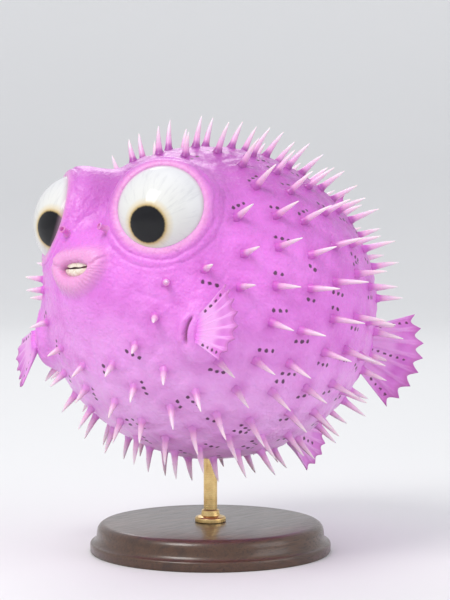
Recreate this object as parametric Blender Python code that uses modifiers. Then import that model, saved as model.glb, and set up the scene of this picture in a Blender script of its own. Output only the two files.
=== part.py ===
"""A porcupine pufferfish (spot-fin porcupinefish, Diodon hystrix), blown up, on a display stand.

Metres, +Z up. The origin is the middle of the stand's underside. The fish faces -X with its nose
lifted, and its left side faces -Y. Its body is a blend of rounded forms, described in the fish's own
frame: the middle of the ball is the origin, -X is forward and +Z is up. place() then bends the tail,
leans the fish a little to its right, tips the nose up and lifts it on to the stand.
"""

import math
import random

import bmesh
import bpy
import numpy as np
from mathutils import Matrix, Vector

GAP = 0.0003  # clearance between two pieces that touch

# The blown-up body: half its length, width and height, and the soft forms that melt into it.
BALL = (0.088, 0.082, 0.079)
MOUTH_CENTRE = (-0.0922, 0.0, -0.001)
MOUTH_HALF_WIDTH = 0.0128
MOUTH_HALF_HEIGHT = 0.0066
LIP_THICKNESS = 0.0041
SMILE = 0.0024  # how far the corners of the mouth turn up

EYE_RADIUS = 0.0255
EYE_CENTRE = (-0.0655, 0.0300, 0.0300)
EYE_AXIS = (-0.84, 0.53, 0.09)  # the way the right eye looks
ORBIT_SKIN = 0.0030  # thickness of the skin cup round the eyeball
ORBIT_RIM = 0.0128  # how far in front of the eye's centre the cup's rim stands

NOSTRIL_CENTRE = (-0.0868, 0.0140, 0.0190)
NOSTRIL_LENGTH = 0.0065
NOSTRIL_RADIUS = 0.0019

STALK_CENTRE = (0.074, 0.0, -0.003)
STALK_RADII = (0.038, 0.0120, 0.0150)
STALK_END_X = 0.105
STALK_START_X = 0.090

HEAD_CUT_X = -0.0440  # the head ends just behind the pectoral fins
HEAD_CUT_LEAN = 0.30  # and that cut leans back towards the top, behind the eyes
BELLY_CUT_Z = -0.031  # the pale belly starts just below the pectoral fins

# How the fish is posed and where it stands.
NOSE_UP = math.radians(13)
LEAN = math.radians(5)  # the fish leans a little to its right
BEND_START_X = 0.074  # the tail bends to the fish's left and down between these two
BEND_END_X = 0.110
BEND_PIVOT_X = 0.078
BEND_SIDE = math.radians(49)
BEND_DOWN = math.radians(14)
BALL_CENTRE_Z = 0.128

# Spines stand in staggered rings round the long axis.
SPINE_SPACING = 0.0182
SPINE_LENGTH_FACE = 0.0085
SPINE_LENGTH_FLANK = 0.0165
SPINE_BASE_RADIUS = 0.0022
SPINE_LEAN = 0.38  # how far a spine leans back towards the tail
SPINE_SINK = 0.0025
SPINE_SEED = 11

# Fins: how long the root is, how long the rays are and how they fan out.
TAIL_FIN = {"root": 0.019, "length": 0.037, "fan": (30, -38), "rays": 8, "root_thick": 0.0052}
PECTORAL_FIN = {"root": 0.013, "length": 0.025, "fan": (42, -38), "rays": 8, "root_thick": 0.0036}
DORSAL_FIN = {"root": 0.018, "length": 0.028, "fan": (46, -16), "rays": 7, "root_thick": 0.0042}
ANAL_FIN = {"root": 0.015, "length": 0.024, "fan": (44, -14), "rays": 7, "root_thick": 0.0040}
FIN_TIP_THICKNESS = 0.0008
FIN_RAY_SWELL = 0.0007
FIN_SCALLOP = 0.12  # depth of the notches between ray tips, as a share of a ray
FIN_ROWS = 3
PECTORAL_ROOT = (-0.0610, 0.0545, -0.0260)
PECTORAL_BULGE = (-0.0580, 0.0520, -0.0260)
PECTORAL_SPREAD = {"left": math.radians(52), "right": math.radians(37)}  # out from the flank
PECTORAL_DROOP = {"left": -0.30, "right": 0.95}
DORSAL_ANGLE = math.radians(37)  # up from the tail's axis, at the middle of the ball
ANAL_ANGLE = math.radians(-38)

STAND_RADIUS = 0.062
STAND_HEIGHT = 0.015
ROD_RADIUS = 0.0035
COLLAR_RADIUS = 0.0080
COLLAR_HEIGHT = 0.006
ROD_SOCKET_DEPTH = 0.014

BODY_SEGMENTS = 32
BODY_RINGS = 25
SURFACE_START = 0.17  # outside every form, where the search for the surface starts

COLOURS = {
    "skin_back": ((0.62, 0.27, 0.52, 1), 0.45),
    "skin_belly": ((0.86, 0.66, 0.80, 1), 0.45),
    "fin": ((0.70, 0.36, 0.60, 1), 0.4),
    "eye": ((0.80, 0.80, 0.74, 1), 0.08),
    "beak": ((0.86, 0.82, 0.70, 1), 0.3),
    "wood": ((0.10, 0.05, 0.03, 1), 0.35),
    "brass": ((0.80, 0.58, 0.25, 1), 0.3),
}


# ---------------------------------------------------------------- the body as a blend of forms


def ellipsoid(points, centre, radii):
    """About the distance from each point to an ellipsoid's surface, negative inside it."""
    local = (points - np.array(centre)) / np.array(radii)
    size = np.linalg.norm(local, axis=1)
    slope = np.linalg.norm(local / np.array(radii), axis=1)
    return size * (size - 1.0) / np.maximum(slope, 1e-9)


def melt(a, b, width):
    """Two forms joined, with the crease between them filled over a width."""
    near = np.maximum(width - np.abs(a - b), 0.0) / width
    return np.minimum(a, b) - near * near * width / 4


def carve(a, b, width):
    """Form a with form b taken away, and the edge between them rounded over a width."""
    return -melt(-a, b, width)


def lips(points):
    """A fleshy ring round the mouth whose corners turn up."""
    y = points[:, 1] / MOUTH_HALF_WIDTH
    lifted = points[:, 2] - MOUTH_CENTRE[2] - SMILE * y * y
    z = lifted / MOUTH_HALF_HEIGHT
    size = np.hypot(y, z)
    slope = np.hypot(y / MOUTH_HALF_WIDTH, z / MOUTH_HALF_HEIGHT)
    from_outline = size * (size - 1.0) / np.maximum(slope, 1e-9)
    return np.hypot(from_outline, points[:, 0] - MOUTH_CENTRE[0]) - LIP_THICKNESS


def orbit(points):
    """The cup of skin that holds an eye, open towards the way the eye looks."""
    axis = np.array(EYE_AXIS) / np.linalg.norm(EYE_AXIS)
    cup = ellipsoid(points, EYE_CENTRE, (EYE_RADIUS + ORBIT_SKIN,) * 3)
    ahead = (points - np.array(EYE_CENTRE)) @ axis - ORBIT_RIM
    return carve(cup, -ahead, 0.003)


def body_form(points):
    """About the distance from each point to the fish's skin, without spines and fins."""
    points = np.asarray(points, float).reshape(-1, 3)
    side = points * (1, 0, 1) + np.abs(points) * (0, 1, 0)
    body = ellipsoid(side, (0, 0, 0), BALL)
    body = melt(body, ellipsoid(side, (-0.068, 0, 0.000), (0.022, 0.026, 0.021)), 0.018)
    body = carve(body, ellipsoid(side, (-0.094, 0, 0.050), (0.020, 0.012, 0.024)), 0.018)
    body = melt(body, orbit(side), 0.009)
    body = melt(body, lips(side), 0.004)
    body = melt(body, ellipsoid(side, STALK_CENTRE, STALK_RADII), 0.030)
    body = melt(body, ellipsoid(side, (0.060, 0, 0.046), (0.020, 0.006, 0.014)), 0.014)
    body = melt(body, ellipsoid(side, (0.062, 0, -0.044), (0.018, 0.006, 0.013)), 0.014)
    return melt(body, ellipsoid(side, PECTORAL_BULGE, (0.009, 0.007, 0.014)), 0.010)


def wrap(directions):
    """Points on the skin, each along its own direction from the middle of the ball."""
    directions = np.asarray(directions, float).reshape(-1, 3)
    directions = directions / np.linalg.norm(directions, axis=1)[:, None]
    reach = np.full(len(directions), SURFACE_START)
    for _ in range(90):
        reach -= 0.6 * body_form(directions * reach[:, None])
    return directions * reach[:, None]


def skin_normal(points, step=0.0008):
    """Outward normals of the skin at these points, from how the form's distance changes."""
    points = np.asarray(points, float).reshape(-1, 3)
    slopes = []
    for axis in np.eye(3) * step:
        slopes.append(body_form(points + axis) - body_form(points - axis))
    normals = np.stack(slopes, axis=1)
    return normals / np.linalg.norm(normals, axis=1)[:, None]


def around_axis(polar, turn):
    """A direction from its angle to the snout and its turn round the long axis, 0 at the top."""
    ring = np.sin(polar)
    return np.stack([-np.cos(polar), ring * np.sin(turn), ring * np.cos(turn)], axis=-1)


def even_polar_angles(count, turn=math.radians(100)):
    """Angles from the snout to the tail that are evenly spaced along the skin's outline."""
    fine = np.linspace(0.0, math.pi, 721)
    outline = wrap(around_axis(fine, np.full(len(fine), turn)))
    steps = np.linalg.norm(np.diff(outline, axis=0), axis=1)
    along = np.concatenate([[0.0], np.cumsum(steps)])
    return np.interp(np.linspace(0.0, along[-1], count), along, fine), along[-1]


# ---------------------------------------------------------------- the pose


def place(points, spare_fins=True):
    """Takes points from the fish's own frame to its pose on the stand: bent, leaning, nose up.

    The bend fades above and below the tail, to spare the dorsal and anal fins; the tail fin, which
    is as tall, is placed without that.
    """
    points = np.array(points, float).reshape(-1, 3)
    reach = (points[:, 0] - BEND_START_X) / (BEND_END_X - BEND_START_X)
    reach = np.clip(reach, 0.0, 1.0)
    share = reach * reach * (3.0 - 2.0 * reach)
    if spare_fins:
        beside = np.clip((np.abs(points[:, 2] - STALK_CENTRE[2]) - 0.022) / 0.016, 0.0, 1.0)
        share *= 1.0 - beside * beside * (3.0 - 2.0 * beside)
    for turn, axis in ((BEND_SIDE, 1), (BEND_DOWN, 2)):
        c, s = np.cos(turn * share), np.sin(turn * share)
        x, across = points[:, 0] - BEND_PIVOT_X, points[:, axis].copy()
        points[:, 0] = BEND_PIVOT_X + x * c + across * s
        points[:, axis] = across * c - x * s
    c, s = math.cos(LEAN), math.sin(LEAN)
    y, z = points[:, 1].copy(), points[:, 2].copy()
    points[:, 1] = c * y + s * z
    points[:, 2] = c * z - s * y
    c, s = math.cos(NOSE_UP), math.sin(NOSE_UP)
    x, z = points[:, 0].copy(), points[:, 2].copy()
    points[:, 0] = c * x + s * z
    points[:, 2] = -s * x + c * z + BALL_CENTRE_Z
    return points


def place_mesh(bm, spare_fins):
    """Poses every vertex of a mesh."""
    moved = place([vert.co for vert in bm.verts], spare_fins)
    for vert, co in zip(bm.verts, moved):
        vert.co = co


# ---------------------------------------------------------------- Blender helpers


def material(name):
    """The Principled material of that name, made the first time it is asked for."""
    found = bpy.data.materials.get(name)
    if found:
        return found
    colour, roughness = COLOURS[name]
    made = bpy.data.materials.new(name)
    made.use_nodes = True
    shader = made.node_tree.nodes["Principled BSDF"]
    shader.inputs["Base Color"].default_value = colour
    shader.inputs["Roughness"].default_value = roughness
    shader.inputs["Metallic"].default_value = 1.0 if name == "brass" else 0.0
    return made


def add_object(name, bm, finish, collection, smooth_angle=50):
    """Turns a bmesh into a named object of the collection."""
    mesh = bpy.data.meshes.new(name)
    bm.to_mesh(mesh)
    bm.free()
    mesh.materials.append(material(finish))
    mesh.shade_smooth()
    mesh.set_sharp_from_angle(angle=math.radians(smooth_angle))
    made = bpy.data.objects.new(name, mesh)
    collection.objects.link(made)
    return made


def join_or_cut(target, tool, operation):
    """Unites a mesh with the tool, or cuts the tool out of it, and drops the tool."""
    boolean = target.modifiers.new("join", "BOOLEAN")
    boolean.operation = operation
    boolean.object = tool
    boolean.solver = "EXACT"
    bpy.context.view_layer.update()
    graph = bpy.context.evaluated_depsgraph_get()
    made = bpy.data.meshes.new_from_object(target.evaluated_get(graph))
    old = target.data
    target.modifiers.clear()
    target.data = made
    bpy.data.meshes.remove(old)
    bpy.data.objects.remove(tool)


def half_of(bm, point, normal):
    """A copy of a closed mesh with everything on the normal's side of a plane cut off."""
    part = bm.copy()
    geometry = part.verts[:] + part.edges[:] + part.faces[:]
    cut = bmesh.ops.bisect_plane(
        part, geom=geometry, plane_co=point, plane_no=normal, clear_outer=True, dist=1e-6
    )
    edges = [item for item in cut["geom_cut"] if isinstance(item, bmesh.types.BMEdge)]
    bmesh.ops.edgenet_fill(part, edges=edges)
    bmesh.ops.recalc_face_normals(part, faces=part.faces[:])
    return part


# ---------------------------------------------------------------- body, parted by thin cuts


def whole_body():
    """The whole skin as one closed mesh, finest on the head."""
    bm = bmesh.new()
    bmesh.ops.create_uvsphere(bm, u_segments=BODY_SEGMENTS, v_segments=BODY_RINGS, radius=1.0)
    polars, _ = even_polar_angles(BODY_RINGS + 1)
    directions = []
    for vert in bm.verts:
        ring = round(math.acos(max(-1.0, min(1.0, vert.co.z))) / math.pi * BODY_RINGS)
        turn = math.atan2(vert.co.y, vert.co.x)
        directions.append(around_axis(polars[ring], turn))
    directions = np.array(directions)
    for vert, co in zip(bm.verts, directions):
        vert.co = co
    face_front = [f for f in bm.faces if is_on_the_face(f.calc_center_median())]
    edges = list({edge for face in face_front for edge in face.edges})
    bmesh.ops.subdivide_edges(bm, edges=edges, cuts=1, use_grid_fill=True)
    moved = wrap([vert.co for vert in bm.verts])
    for vert, co in zip(bm.verts, moved):
        vert.co = co
    bmesh.ops.triangulate(bm, faces=bm.faces[:])
    bmesh.ops.recalc_face_normals(bm, faces=bm.faces[:])
    return bm


def is_on_the_face(direction):
    """True where the eyes, snout and brow need a finer mesh."""
    eye = Vector(EYE_CENTRE)
    mirrored = Vector((direction.x, abs(direction.y), direction.z))
    snout = Vector((-1.0, 0.0, 0.06))
    return mirrored.angle(eye) < math.radians(21) or mirrored.angle(snout) < math.radians(15)


def body_parts():
    """Head, back, belly and tail stalk as closed meshes in the fish's frame, a gap apart."""
    whole = whole_body()
    half = GAP / 2
    lean = Vector((1, 0, -HEAD_CUT_LEAN)).normalized()
    neck = Vector((HEAD_CUT_X, 0, 0))
    head = half_of(whole, neck - lean * half, lean)
    behind = half_of(whole, neck + lean * half, -lean)
    trunk = half_of(behind, (STALK_START_X - half, 0, 0), (1, 0, 0))
    stalk = half_of(behind, (STALK_START_X + half, 0, 0), (-1, 0, 0))
    back = half_of(trunk, (0, 0, BELLY_CUT_Z + half), (0, 0, -1))
    belly = half_of(trunk, (0, 0, BELLY_CUT_Z - half), (0, 0, 1))
    tail = half_of(stalk, (STALK_END_X, 0, 0), (1, 0, 0))
    for used in (whole, behind, trunk, stalk):
        used.free()
    return {"head": head, "back": back, "belly": belly, "tail_stalk": tail}


# ---------------------------------------------------------------- spines


def spine_free(root, polar):
    """True where the living fish has bare skin: mouth, eyes, fin roots, tail and the rod's place."""
    side = np.array([root[0], abs(root[1]), root[2]])
    bare = (
        (MOUTH_CENTRE, 0.040),
        (EYE_CENTRE, 0.0340),
        (PECTORAL_ROOT, 0.0180),
        ((0.071, 0.0, 0.048), 0.018),
        ((0.073, 0.0, -0.046), 0.017),
        (rod_top(), 0.013),
    )
    near = any(np.linalg.norm(side - np.array(centre)) < reach for centre, reach in bare)
    return near or polar > math.radians(163)


def behind_neck(point):
    """How far a point lies behind the cut that ends the head."""
    return (point[0] - HEAD_CUT_X - HEAD_CUT_LEAN * point[2]) / math.hypot(1.0, HEAD_CUT_LEAN)


def clear_of_cuts(root):
    """Moves a root a little, so that no spine straddles the cut between two parts."""
    keep = SPINE_BASE_RADIUS + 0.0020
    neck, waist = behind_neck(root), root[2] - BELLY_CUT_Z
    if abs(neck) < keep:
        root[0] += math.copysign(keep, neck) - neck
    if abs(waist) < keep and behind_neck(root) > 0:
        root[2] += math.copysign(keep, waist) - waist
    return wrap(root)[0]


def spine_length(root, polar):
    """Short on the face, longest behind the pectoral fins, shorter again near the tail."""
    grown = min(1.0, max(0.0, (polar - math.radians(22)) / math.radians(50)))
    faded = 1.0 - 0.35 * min(1.0, max(0.0, (polar - math.radians(125)) / math.radians(40)))
    belly = 1.0 - 0.12 * min(1.0, max(0.0, -root[2] / BALL[2]))
    length = SPINE_LENGTH_FACE + (SPINE_LENGTH_FLANK - SPINE_LENGTH_FACE) * grown
    return length * faded * belly


def spines():
    """(root, unit axis, length) of every spine, in the fish's frame, the two sides alike."""
    chance = random.Random(SPINE_SEED)
    _, outline = even_polar_angles(3)
    rings = round(outline / SPINE_SPACING)
    polars, _ = even_polar_angles(rings + 1)
    found = []
    for ring, polar in enumerate(polars[1:-1]):
        girth = 2 * math.pi * BALL[1] * math.sin(polar)
        count = max(6, round(girth / SPINE_SPACING))
        for index in range(count // 2 + 1):
            turn = (index + 0.5 * (ring % 2)) * 2 * math.pi / count
            jitter = [chance.uniform(-1, 1) for _ in range(4)]
            if turn > math.pi + 1e-6:
                continue
            middle = min(turn, math.pi - turn) < 1e-6
            lean_polar = polar + 0.014 * jitter[0]
            lean_turn = turn if middle else turn + 0.10 * jitter[1] / max(1.5, count / 6)
            root = wrap(around_axis(lean_polar, lean_turn))[0]
            if spine_free(root, polar):
                continue
            root = clear_of_cuts(root)
            normal = skin_normal(root)[0]
            back = np.array([1.0, 0.0, 0.0]) - normal * normal[0]
            sideways = np.cross(normal, back) * 0.07 * (0.0 if middle else jitter[2])
            axis = normal + SPINE_LEAN * back + sideways
            axis = axis / np.linalg.norm(axis)
            length = spine_length(root, polar) * (1.0 + 0.10 * jitter[3])
            found.append((root, axis, length))
            if not middle:
                mirror = np.array([1.0, -1.0, 1.0])
                found.append((root * mirror, axis * mirror, length))
    return found


def part_of(root):
    """The body part that a spine grows from."""
    if behind_neck(root) < 0:
        return "head"
    if root[0] > STALK_START_X:
        return "tail_stalk"
    return "back" if root[2] > BELLY_CUT_Z else "belly"


def spine_cones(chosen):
    """One mesh of four-sided spikes, each sunk a little into the skin."""
    bm = bmesh.new()
    for root, axis, length in chosen:
        full = length + SPINE_SINK
        turn = Vector(axis).to_track_quat("Z", "Y").to_matrix().to_4x4()
        middle = Vector(root) + Vector(axis) * (full / 2 - SPINE_SINK)
        grown = SPINE_BASE_RADIUS * full / length
        bmesh.ops.create_cone(
            bm, cap_ends=True, cap_tris=True, segments=4, radius1=grown, radius2=0.0,
            depth=full, matrix=Matrix.Translation(middle) @ turn,
        )
    return bm


# ---------------------------------------------------------------- fins


def fin_sheet(fin, u, v):
    """A point of the fin's middle sheet: u from its upper to its lower ray, v from root to tip.

    In the fin's own frame the root lies along Z, the rays run towards +X and Y is across.
    """
    top, bottom = fin["fan"]
    angle = math.radians(top + (bottom - top) * u)
    between = abs(math.sin(math.pi * (fin["rays"] - 1) * u))
    rounded = 1.0 - 0.16 * (2 * u - 1) ** 2
    reach = fin["length"] * rounded * (1.0 - FIN_SCALLOP * between)
    across = 0.05 * fin["length"] * v * v * math.sin(2.4 * math.pi * u)
    height = (0.5 - u) * fin["root"] + v * reach * math.sin(angle)
    return Vector((v * reach * math.cos(angle), across, height))


def fin_mesh(fin):
    """A closed fan: a grid laid out along the rays, thick at the root and thin at the tips."""
    columns = 2 * (fin["rays"] - 1)
    bm = bmesh.new()
    bmesh.ops.create_grid(bm, x_segments=columns, y_segments=FIN_ROWS, size=0.5)
    spots = {vert: (vert.co.x + 0.5, vert.co.y + 0.5) for vert in bm.verts}
    near_side = list(bm.verts)
    raised = bmesh.ops.extrude_face_region(bm, geom=bm.faces[:], use_keep_orig=True)
    far_side = [item for item in raised["geom"] if isinstance(item, bmesh.types.BMVert)]
    for vert in far_side:
        spots[vert] = (vert.co.x + 0.5, vert.co.y + 0.5)
    step = 0.01
    for verts, side in ((near_side, -1), (far_side, 1)):
        for vert in verts:
            u, v = spots[vert]
            here = fin_sheet(fin, u, v)
            along = fin_sheet(fin, u, v + step) - here
            down = fin_sheet(fin, u + step, v) - fin_sheet(fin, u - step, v)
            normal = down.cross(along).normalized()
            on_ray = abs(math.cos(math.pi * (fin["rays"] - 1) * u))
            root_share = (1 - v) ** 2
            thick = FIN_TIP_THICKNESS + FIN_RAY_SWELL * on_ray * (1 - 0.5 * v)
            thick += (fin["root_thick"] - FIN_TIP_THICKNESS) * root_share
            vert.co = here + normal * (side * thick / 2)
    bmesh.ops.recalc_face_normals(bm, faces=bm.faces[:])
    roots = [vert for vert in bm.verts if spots[vert][1] < 1e-6]
    return bm, roots


def sink_root(bm, roots, depth):
    """Takes a fin's root vertices to below the skin, along the line from the ball's middle."""
    landed = wrap([vert.co for vert in roots])
    normals = skin_normal(landed)
    for vert, co, normal in zip(roots, landed, normals):
        vert.co = Vector(co) - Vector(normal) * depth


def trim_to_skin(made, collection):
    """Cuts away what lies below the skin, and a gap above it, in the fish's own frame."""
    grown = whole_body()
    normals = skin_normal([vert.co for vert in grown.verts])
    for vert, normal in zip(grown.verts, normals):
        vert.co += Vector(normal) * GAP
    join_or_cut(made, add_object("grown_skin", grown, "skin_back", collection), "DIFFERENCE")


def turn_to(out, up):
    """The rotation that takes a fin's +X to out and its +Z to nearly up."""
    out = Vector(out).normalized()
    across = Vector(up).cross(out).normalized()
    up = out.cross(across)
    return Matrix((out, across, up)).transposed().to_4x4()


def tail_fin():
    bm, _ = fin_mesh(TAIL_FIN)
    shift = Matrix.Translation((STALK_END_X + GAP, 0, STALK_CENTRE[2]))
    bmesh.ops.transform(bm, matrix=shift, verts=bm.verts[:])
    return bm


def pectoral_fin(word, side):
    """A pectoral fin, side +1 for the fish's right and -1 for its left."""
    bm, roots = fin_mesh(PECTORAL_FIN)
    start = wrap(PECTORAL_ROOT)[0]
    normal = skin_normal(start)[0]
    flank = np.cross(normal, (0.0, 0.0, 1.0))
    spread = PECTORAL_SPREAD[word]
    out = Vector(flank * math.cos(spread) + normal * math.sin(spread)).normalized()
    out.z -= PECTORAL_DROOP[word]
    out.normalize()
    frame = Matrix.Translation(Vector(start) + out * 0.001) @ turn_to(out, (0.18, 0, 1))
    bmesh.ops.transform(bm, matrix=frame, verts=bm.verts[:])
    sink_root(bm, roots, 0.003)
    if side < 0:
        bmesh.ops.scale(bm, vec=(1, -1, 1), verts=bm.verts[:])
        bmesh.ops.reverse_faces(bm, faces=bm.faces[:])
    return bm


def middle_fin(fin, angle, flip):
    """A fin on the rear of the ball, flip -1 for the dorsal fin and 1 for the anal fin."""
    bm, roots = fin_mesh(fin)
    start = Vector(wrap((math.cos(angle), 0, math.sin(angle)))[0])
    normal = Vector(skin_normal(start)[0])
    back = Vector((1, 0, 0)) - normal * normal.x
    out = normal * 0.8 + back.normalized() * 0.6
    ahead = normal.cross(Vector((0, flip, 0)))
    frame = Matrix.Translation(start + out * 0.001) @ turn_to(out, ahead)
    bmesh.ops.transform(bm, matrix=frame, verts=bm.verts[:])
    sink_root(bm, roots, 0.003)
    return bm


# ---------------------------------------------------------------- eyes, beak, nostrils


def ball_at(centre, radii, segments=16, rings=10):
    """A squashed sphere with its poles along X."""
    bm = bmesh.new()
    turn = Matrix.Rotation(math.pi / 2, 4, "Y")
    bmesh.ops.create_uvsphere(bm, u_segments=segments, v_segments=rings, radius=1.0, matrix=turn)
    bmesh.ops.scale(bm, vec=radii, verts=bm.verts[:])
    bmesh.ops.translate(bm, vec=centre, verts=bm.verts[:])
    return bm


def eye_centre(side):
    return (EYE_CENTRE[0], side * EYE_CENTRE[1], EYE_CENTRE[2])


BEAK_CENTRE = (MOUTH_CENTRE[0] + 0.0030, 0.0, MOUTH_CENTRE[2] + 0.0010)
BEAK_RADII = (0.0072, 0.0112, 0.0052)


def beak(side):
    """One tooth plate, side +1 for the upper and -1 for the lower."""
    whole = ball_at(BEAK_CENTRE, BEAK_RADII, 12, 8)
    edge = (0, 0, BEAK_CENTRE[2] + side * GAP)
    half = half_of(whole, edge, (0, 0, -side))
    whole.free()
    return half


def nostril(side):
    """A short fleshy tentacle that carries one nostril."""
    bm = bmesh.new()
    root = wrap(NOSTRIL_CENTRE)[0]
    axis = skin_normal(root)[0] + np.array([-0.25, 0.0, 0.25])
    axis = Vector(axis).normalized()
    middle = Vector(root) + axis * (NOSTRIL_LENGTH / 2 - 0.0020)
    turn = axis.to_track_quat("Z", "Y").to_matrix().to_4x4()
    bmesh.ops.create_cone(
        bm, cap_ends=True, segments=8, radius1=NOSTRIL_RADIUS * 1.15, radius2=NOSTRIL_RADIUS * 0.8,
        depth=NOSTRIL_LENGTH, matrix=Matrix.Translation(middle) @ turn,
    )
    if side < 0:
        bmesh.ops.scale(bm, vec=(1, -1, 1), verts=bm.verts[:])
        bmesh.ops.reverse_faces(bm, faces=bm.faces[:])
    return bm


# ---------------------------------------------------------------- stand


def rod_top():
    """Where the rod's axis meets the belly, in the fish's own frame."""
    down = (
        math.sin(NOSE_UP), math.sin(LEAN) * math.cos(NOSE_UP), -math.cos(LEAN) * math.cos(NOSE_UP)
    )
    return wrap(down)[0]


def rod_top_height():
    return float(place(rod_top())[0][2])


def add_stand(collection):
    """A turned wooden base, a brass rod and the collar where the rod leaves the base."""
    step = STAND_HEIGHT * 0.35
    profile = [
        (0.0, STAND_HEIGHT),
        (STAND_RADIUS - 0.0100, STAND_HEIGHT),
        (STAND_RADIUS - 0.0060, STAND_HEIGHT - 0.0015),
        (STAND_RADIUS - 0.0035, STAND_HEIGHT - 0.0048),
        (STAND_RADIUS - 0.0030, step + 0.0010),
        (STAND_RADIUS, step),
        (STAND_RADIUS, 0.0),
        (0.0, 0.0),
    ]
    turned("stand_base", profile, "wood", collection, 36)
    collar_low = STAND_HEIGHT + GAP
    collar = [
        (0.0, collar_low + COLLAR_HEIGHT),
        (COLLAR_RADIUS * 0.55, collar_low + COLLAR_HEIGHT),
        (COLLAR_RADIUS * 0.80, collar_low + COLLAR_HEIGHT * 0.55),
        (COLLAR_RADIUS, collar_low + COLLAR_HEIGHT * 0.30),
        (COLLAR_RADIUS, collar_low),
        (0.0, collar_low),
    ]
    turned("stand_collar", collar, "brass", collection, 16)
    low = collar_low + COLLAR_HEIGHT + GAP
    high = rod_top_height() + ROD_SOCKET_DEPTH
    rod = cylinder(ROD_RADIUS, low, high, 16)
    add_object("stand_rod", rod, "brass", collection)


def turned(name, profile, finish, collection, steps):
    """A turned piece: an open profile at +X, spun about Z by a Screw modifier."""
    mesh = bpy.data.meshes.new(name)
    points = [(radius, 0.0, height) for radius, height in profile]
    edges = [(i, i + 1) for i in range(len(points) - 1)]
    mesh.from_pydata(points, edges, [])
    mesh.materials.append(material(finish))
    made = bpy.data.objects.new(name, mesh)
    collection.objects.link(made)
    screw = made.modifiers.new("turn", "SCREW")
    screw.steps = steps
    screw.render_steps = steps
    screw.use_merge_vertices = True
    screw.merge_threshold = 0.00005
    screw.use_smooth_shade = True


def cylinder(radius, low, high, sides):
    bm = bmesh.new()
    middle = Matrix.Translation((0, 0, (low + high) / 2))
    bmesh.ops.create_cone(
        bm, cap_ends=True, segments=sides, radius1=radius, radius2=radius,
        depth=high - low, matrix=middle,
    )
    return bm


# ---------------------------------------------------------------- the whole model


def add_body(collection):
    """The parts of the body with their spines, and the hollows for eyes, beak and rod."""
    parts = body_parts()
    all_spines = spines()
    print(len(all_spines), "spines")
    for name, bm in parts.items():
        made = add_object(name, bm, "skin_belly" if name == "belly" else "skin_back", collection)
        own = [spine for spine in all_spines if part_of(spine[0]) == name]
        if name == "head":
            for side in (1, -1):
                socket = ball_at(eye_centre(side), (EYE_RADIUS + GAP,) * 3)
                join_or_cut(made, add_object("socket", socket, "eye", collection), "DIFFERENCE")
            room = [radius + 2 * GAP for radius in BEAK_RADII]
            hollow = ball_at(BEAK_CENTRE, room, 12, 8)
            join_or_cut(made, add_object("hollow", hollow, "beak", collection), "DIFFERENCE")
        if own:
            cones = add_object("cones", spine_cones(own), "skin_back", collection)
            join_or_cut(made, cones, "UNION")
        pose(made)
        if name == "belly":
            top = rod_top_height() + ROD_SOCKET_DEPTH + GAP
            bore = cylinder(ROD_RADIUS + GAP, top - 0.06, top, 16)
            join_or_cut(made, add_object("bore", bore, "brass", collection), "DIFFERENCE")


def pose(made, spare_fins=True):
    """Takes an object's mesh from the fish's own frame to its place on the stand."""
    bm = bmesh.new()
    bm.from_mesh(made.data)
    place_mesh(bm, spare_fins)
    bm.to_mesh(made.data)
    bm.free()


def add_placed(name, bm, finish, collection, on_skin=False):
    """Adds a mesh made in the fish's frame, trimmed to the skin where it grows from it."""
    made = add_object(name, bm, finish, collection)
    if on_skin:
        trim_to_skin(made, collection)
    pose(made, spare_fins=name != "tail_fin")


def build():
    for old in list(bpy.data.objects):
        bpy.data.objects.remove(old)
    collection = bpy.data.collections.new("porcupine_pufferfish")
    bpy.context.scene.collection.children.link(collection)
    add_body(collection)
    add_placed("tail_fin", tail_fin(), "fin", collection)
    add_placed("dorsal_fin", middle_fin(DORSAL_FIN, DORSAL_ANGLE, -1), "fin", collection, True)
    add_placed("anal_fin", middle_fin(ANAL_FIN, ANAL_ANGLE, 1), "fin", collection, True)
    for side, word in ((1, "right"), (-1, "left")):
        add_placed(f"pectoral_fin_{word}", pectoral_fin(word, side), "fin", collection, True)
        eye = ball_at(eye_centre(side), (EYE_RADIUS,) * 3)
        add_placed(f"eye_{word}", eye, "eye", collection)
        add_placed(f"nostril_{word}", nostril(side), "skin_back", collection, True)
    for side, word in ((1, "upper"), (-1, "lower")):
        add_placed(f"{word}_beak", beak(side), "beak", collection)
    add_stand(collection)


build()
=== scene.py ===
# %% [markdown]
# # A porcupine pufferfish on a display stand
#
# The solids of this fish, its fins, eyes, beak and stand are already built and packed. This script
# dresses them: one unbroken skin in place of the parted body, slender spines, rayed fins, wet eyes, a
# beak of fused teeth and a turned stand of walnut and brass, each with its own finish. Every length is in
# metres, and every piece is made in the place where the solids stand.

# %% Load the solids
import math
import random

import bmesh
import bpy
import numpy as np
from mathutils import Matrix, Vector
from mathutils.kdtree import KDTree


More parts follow.
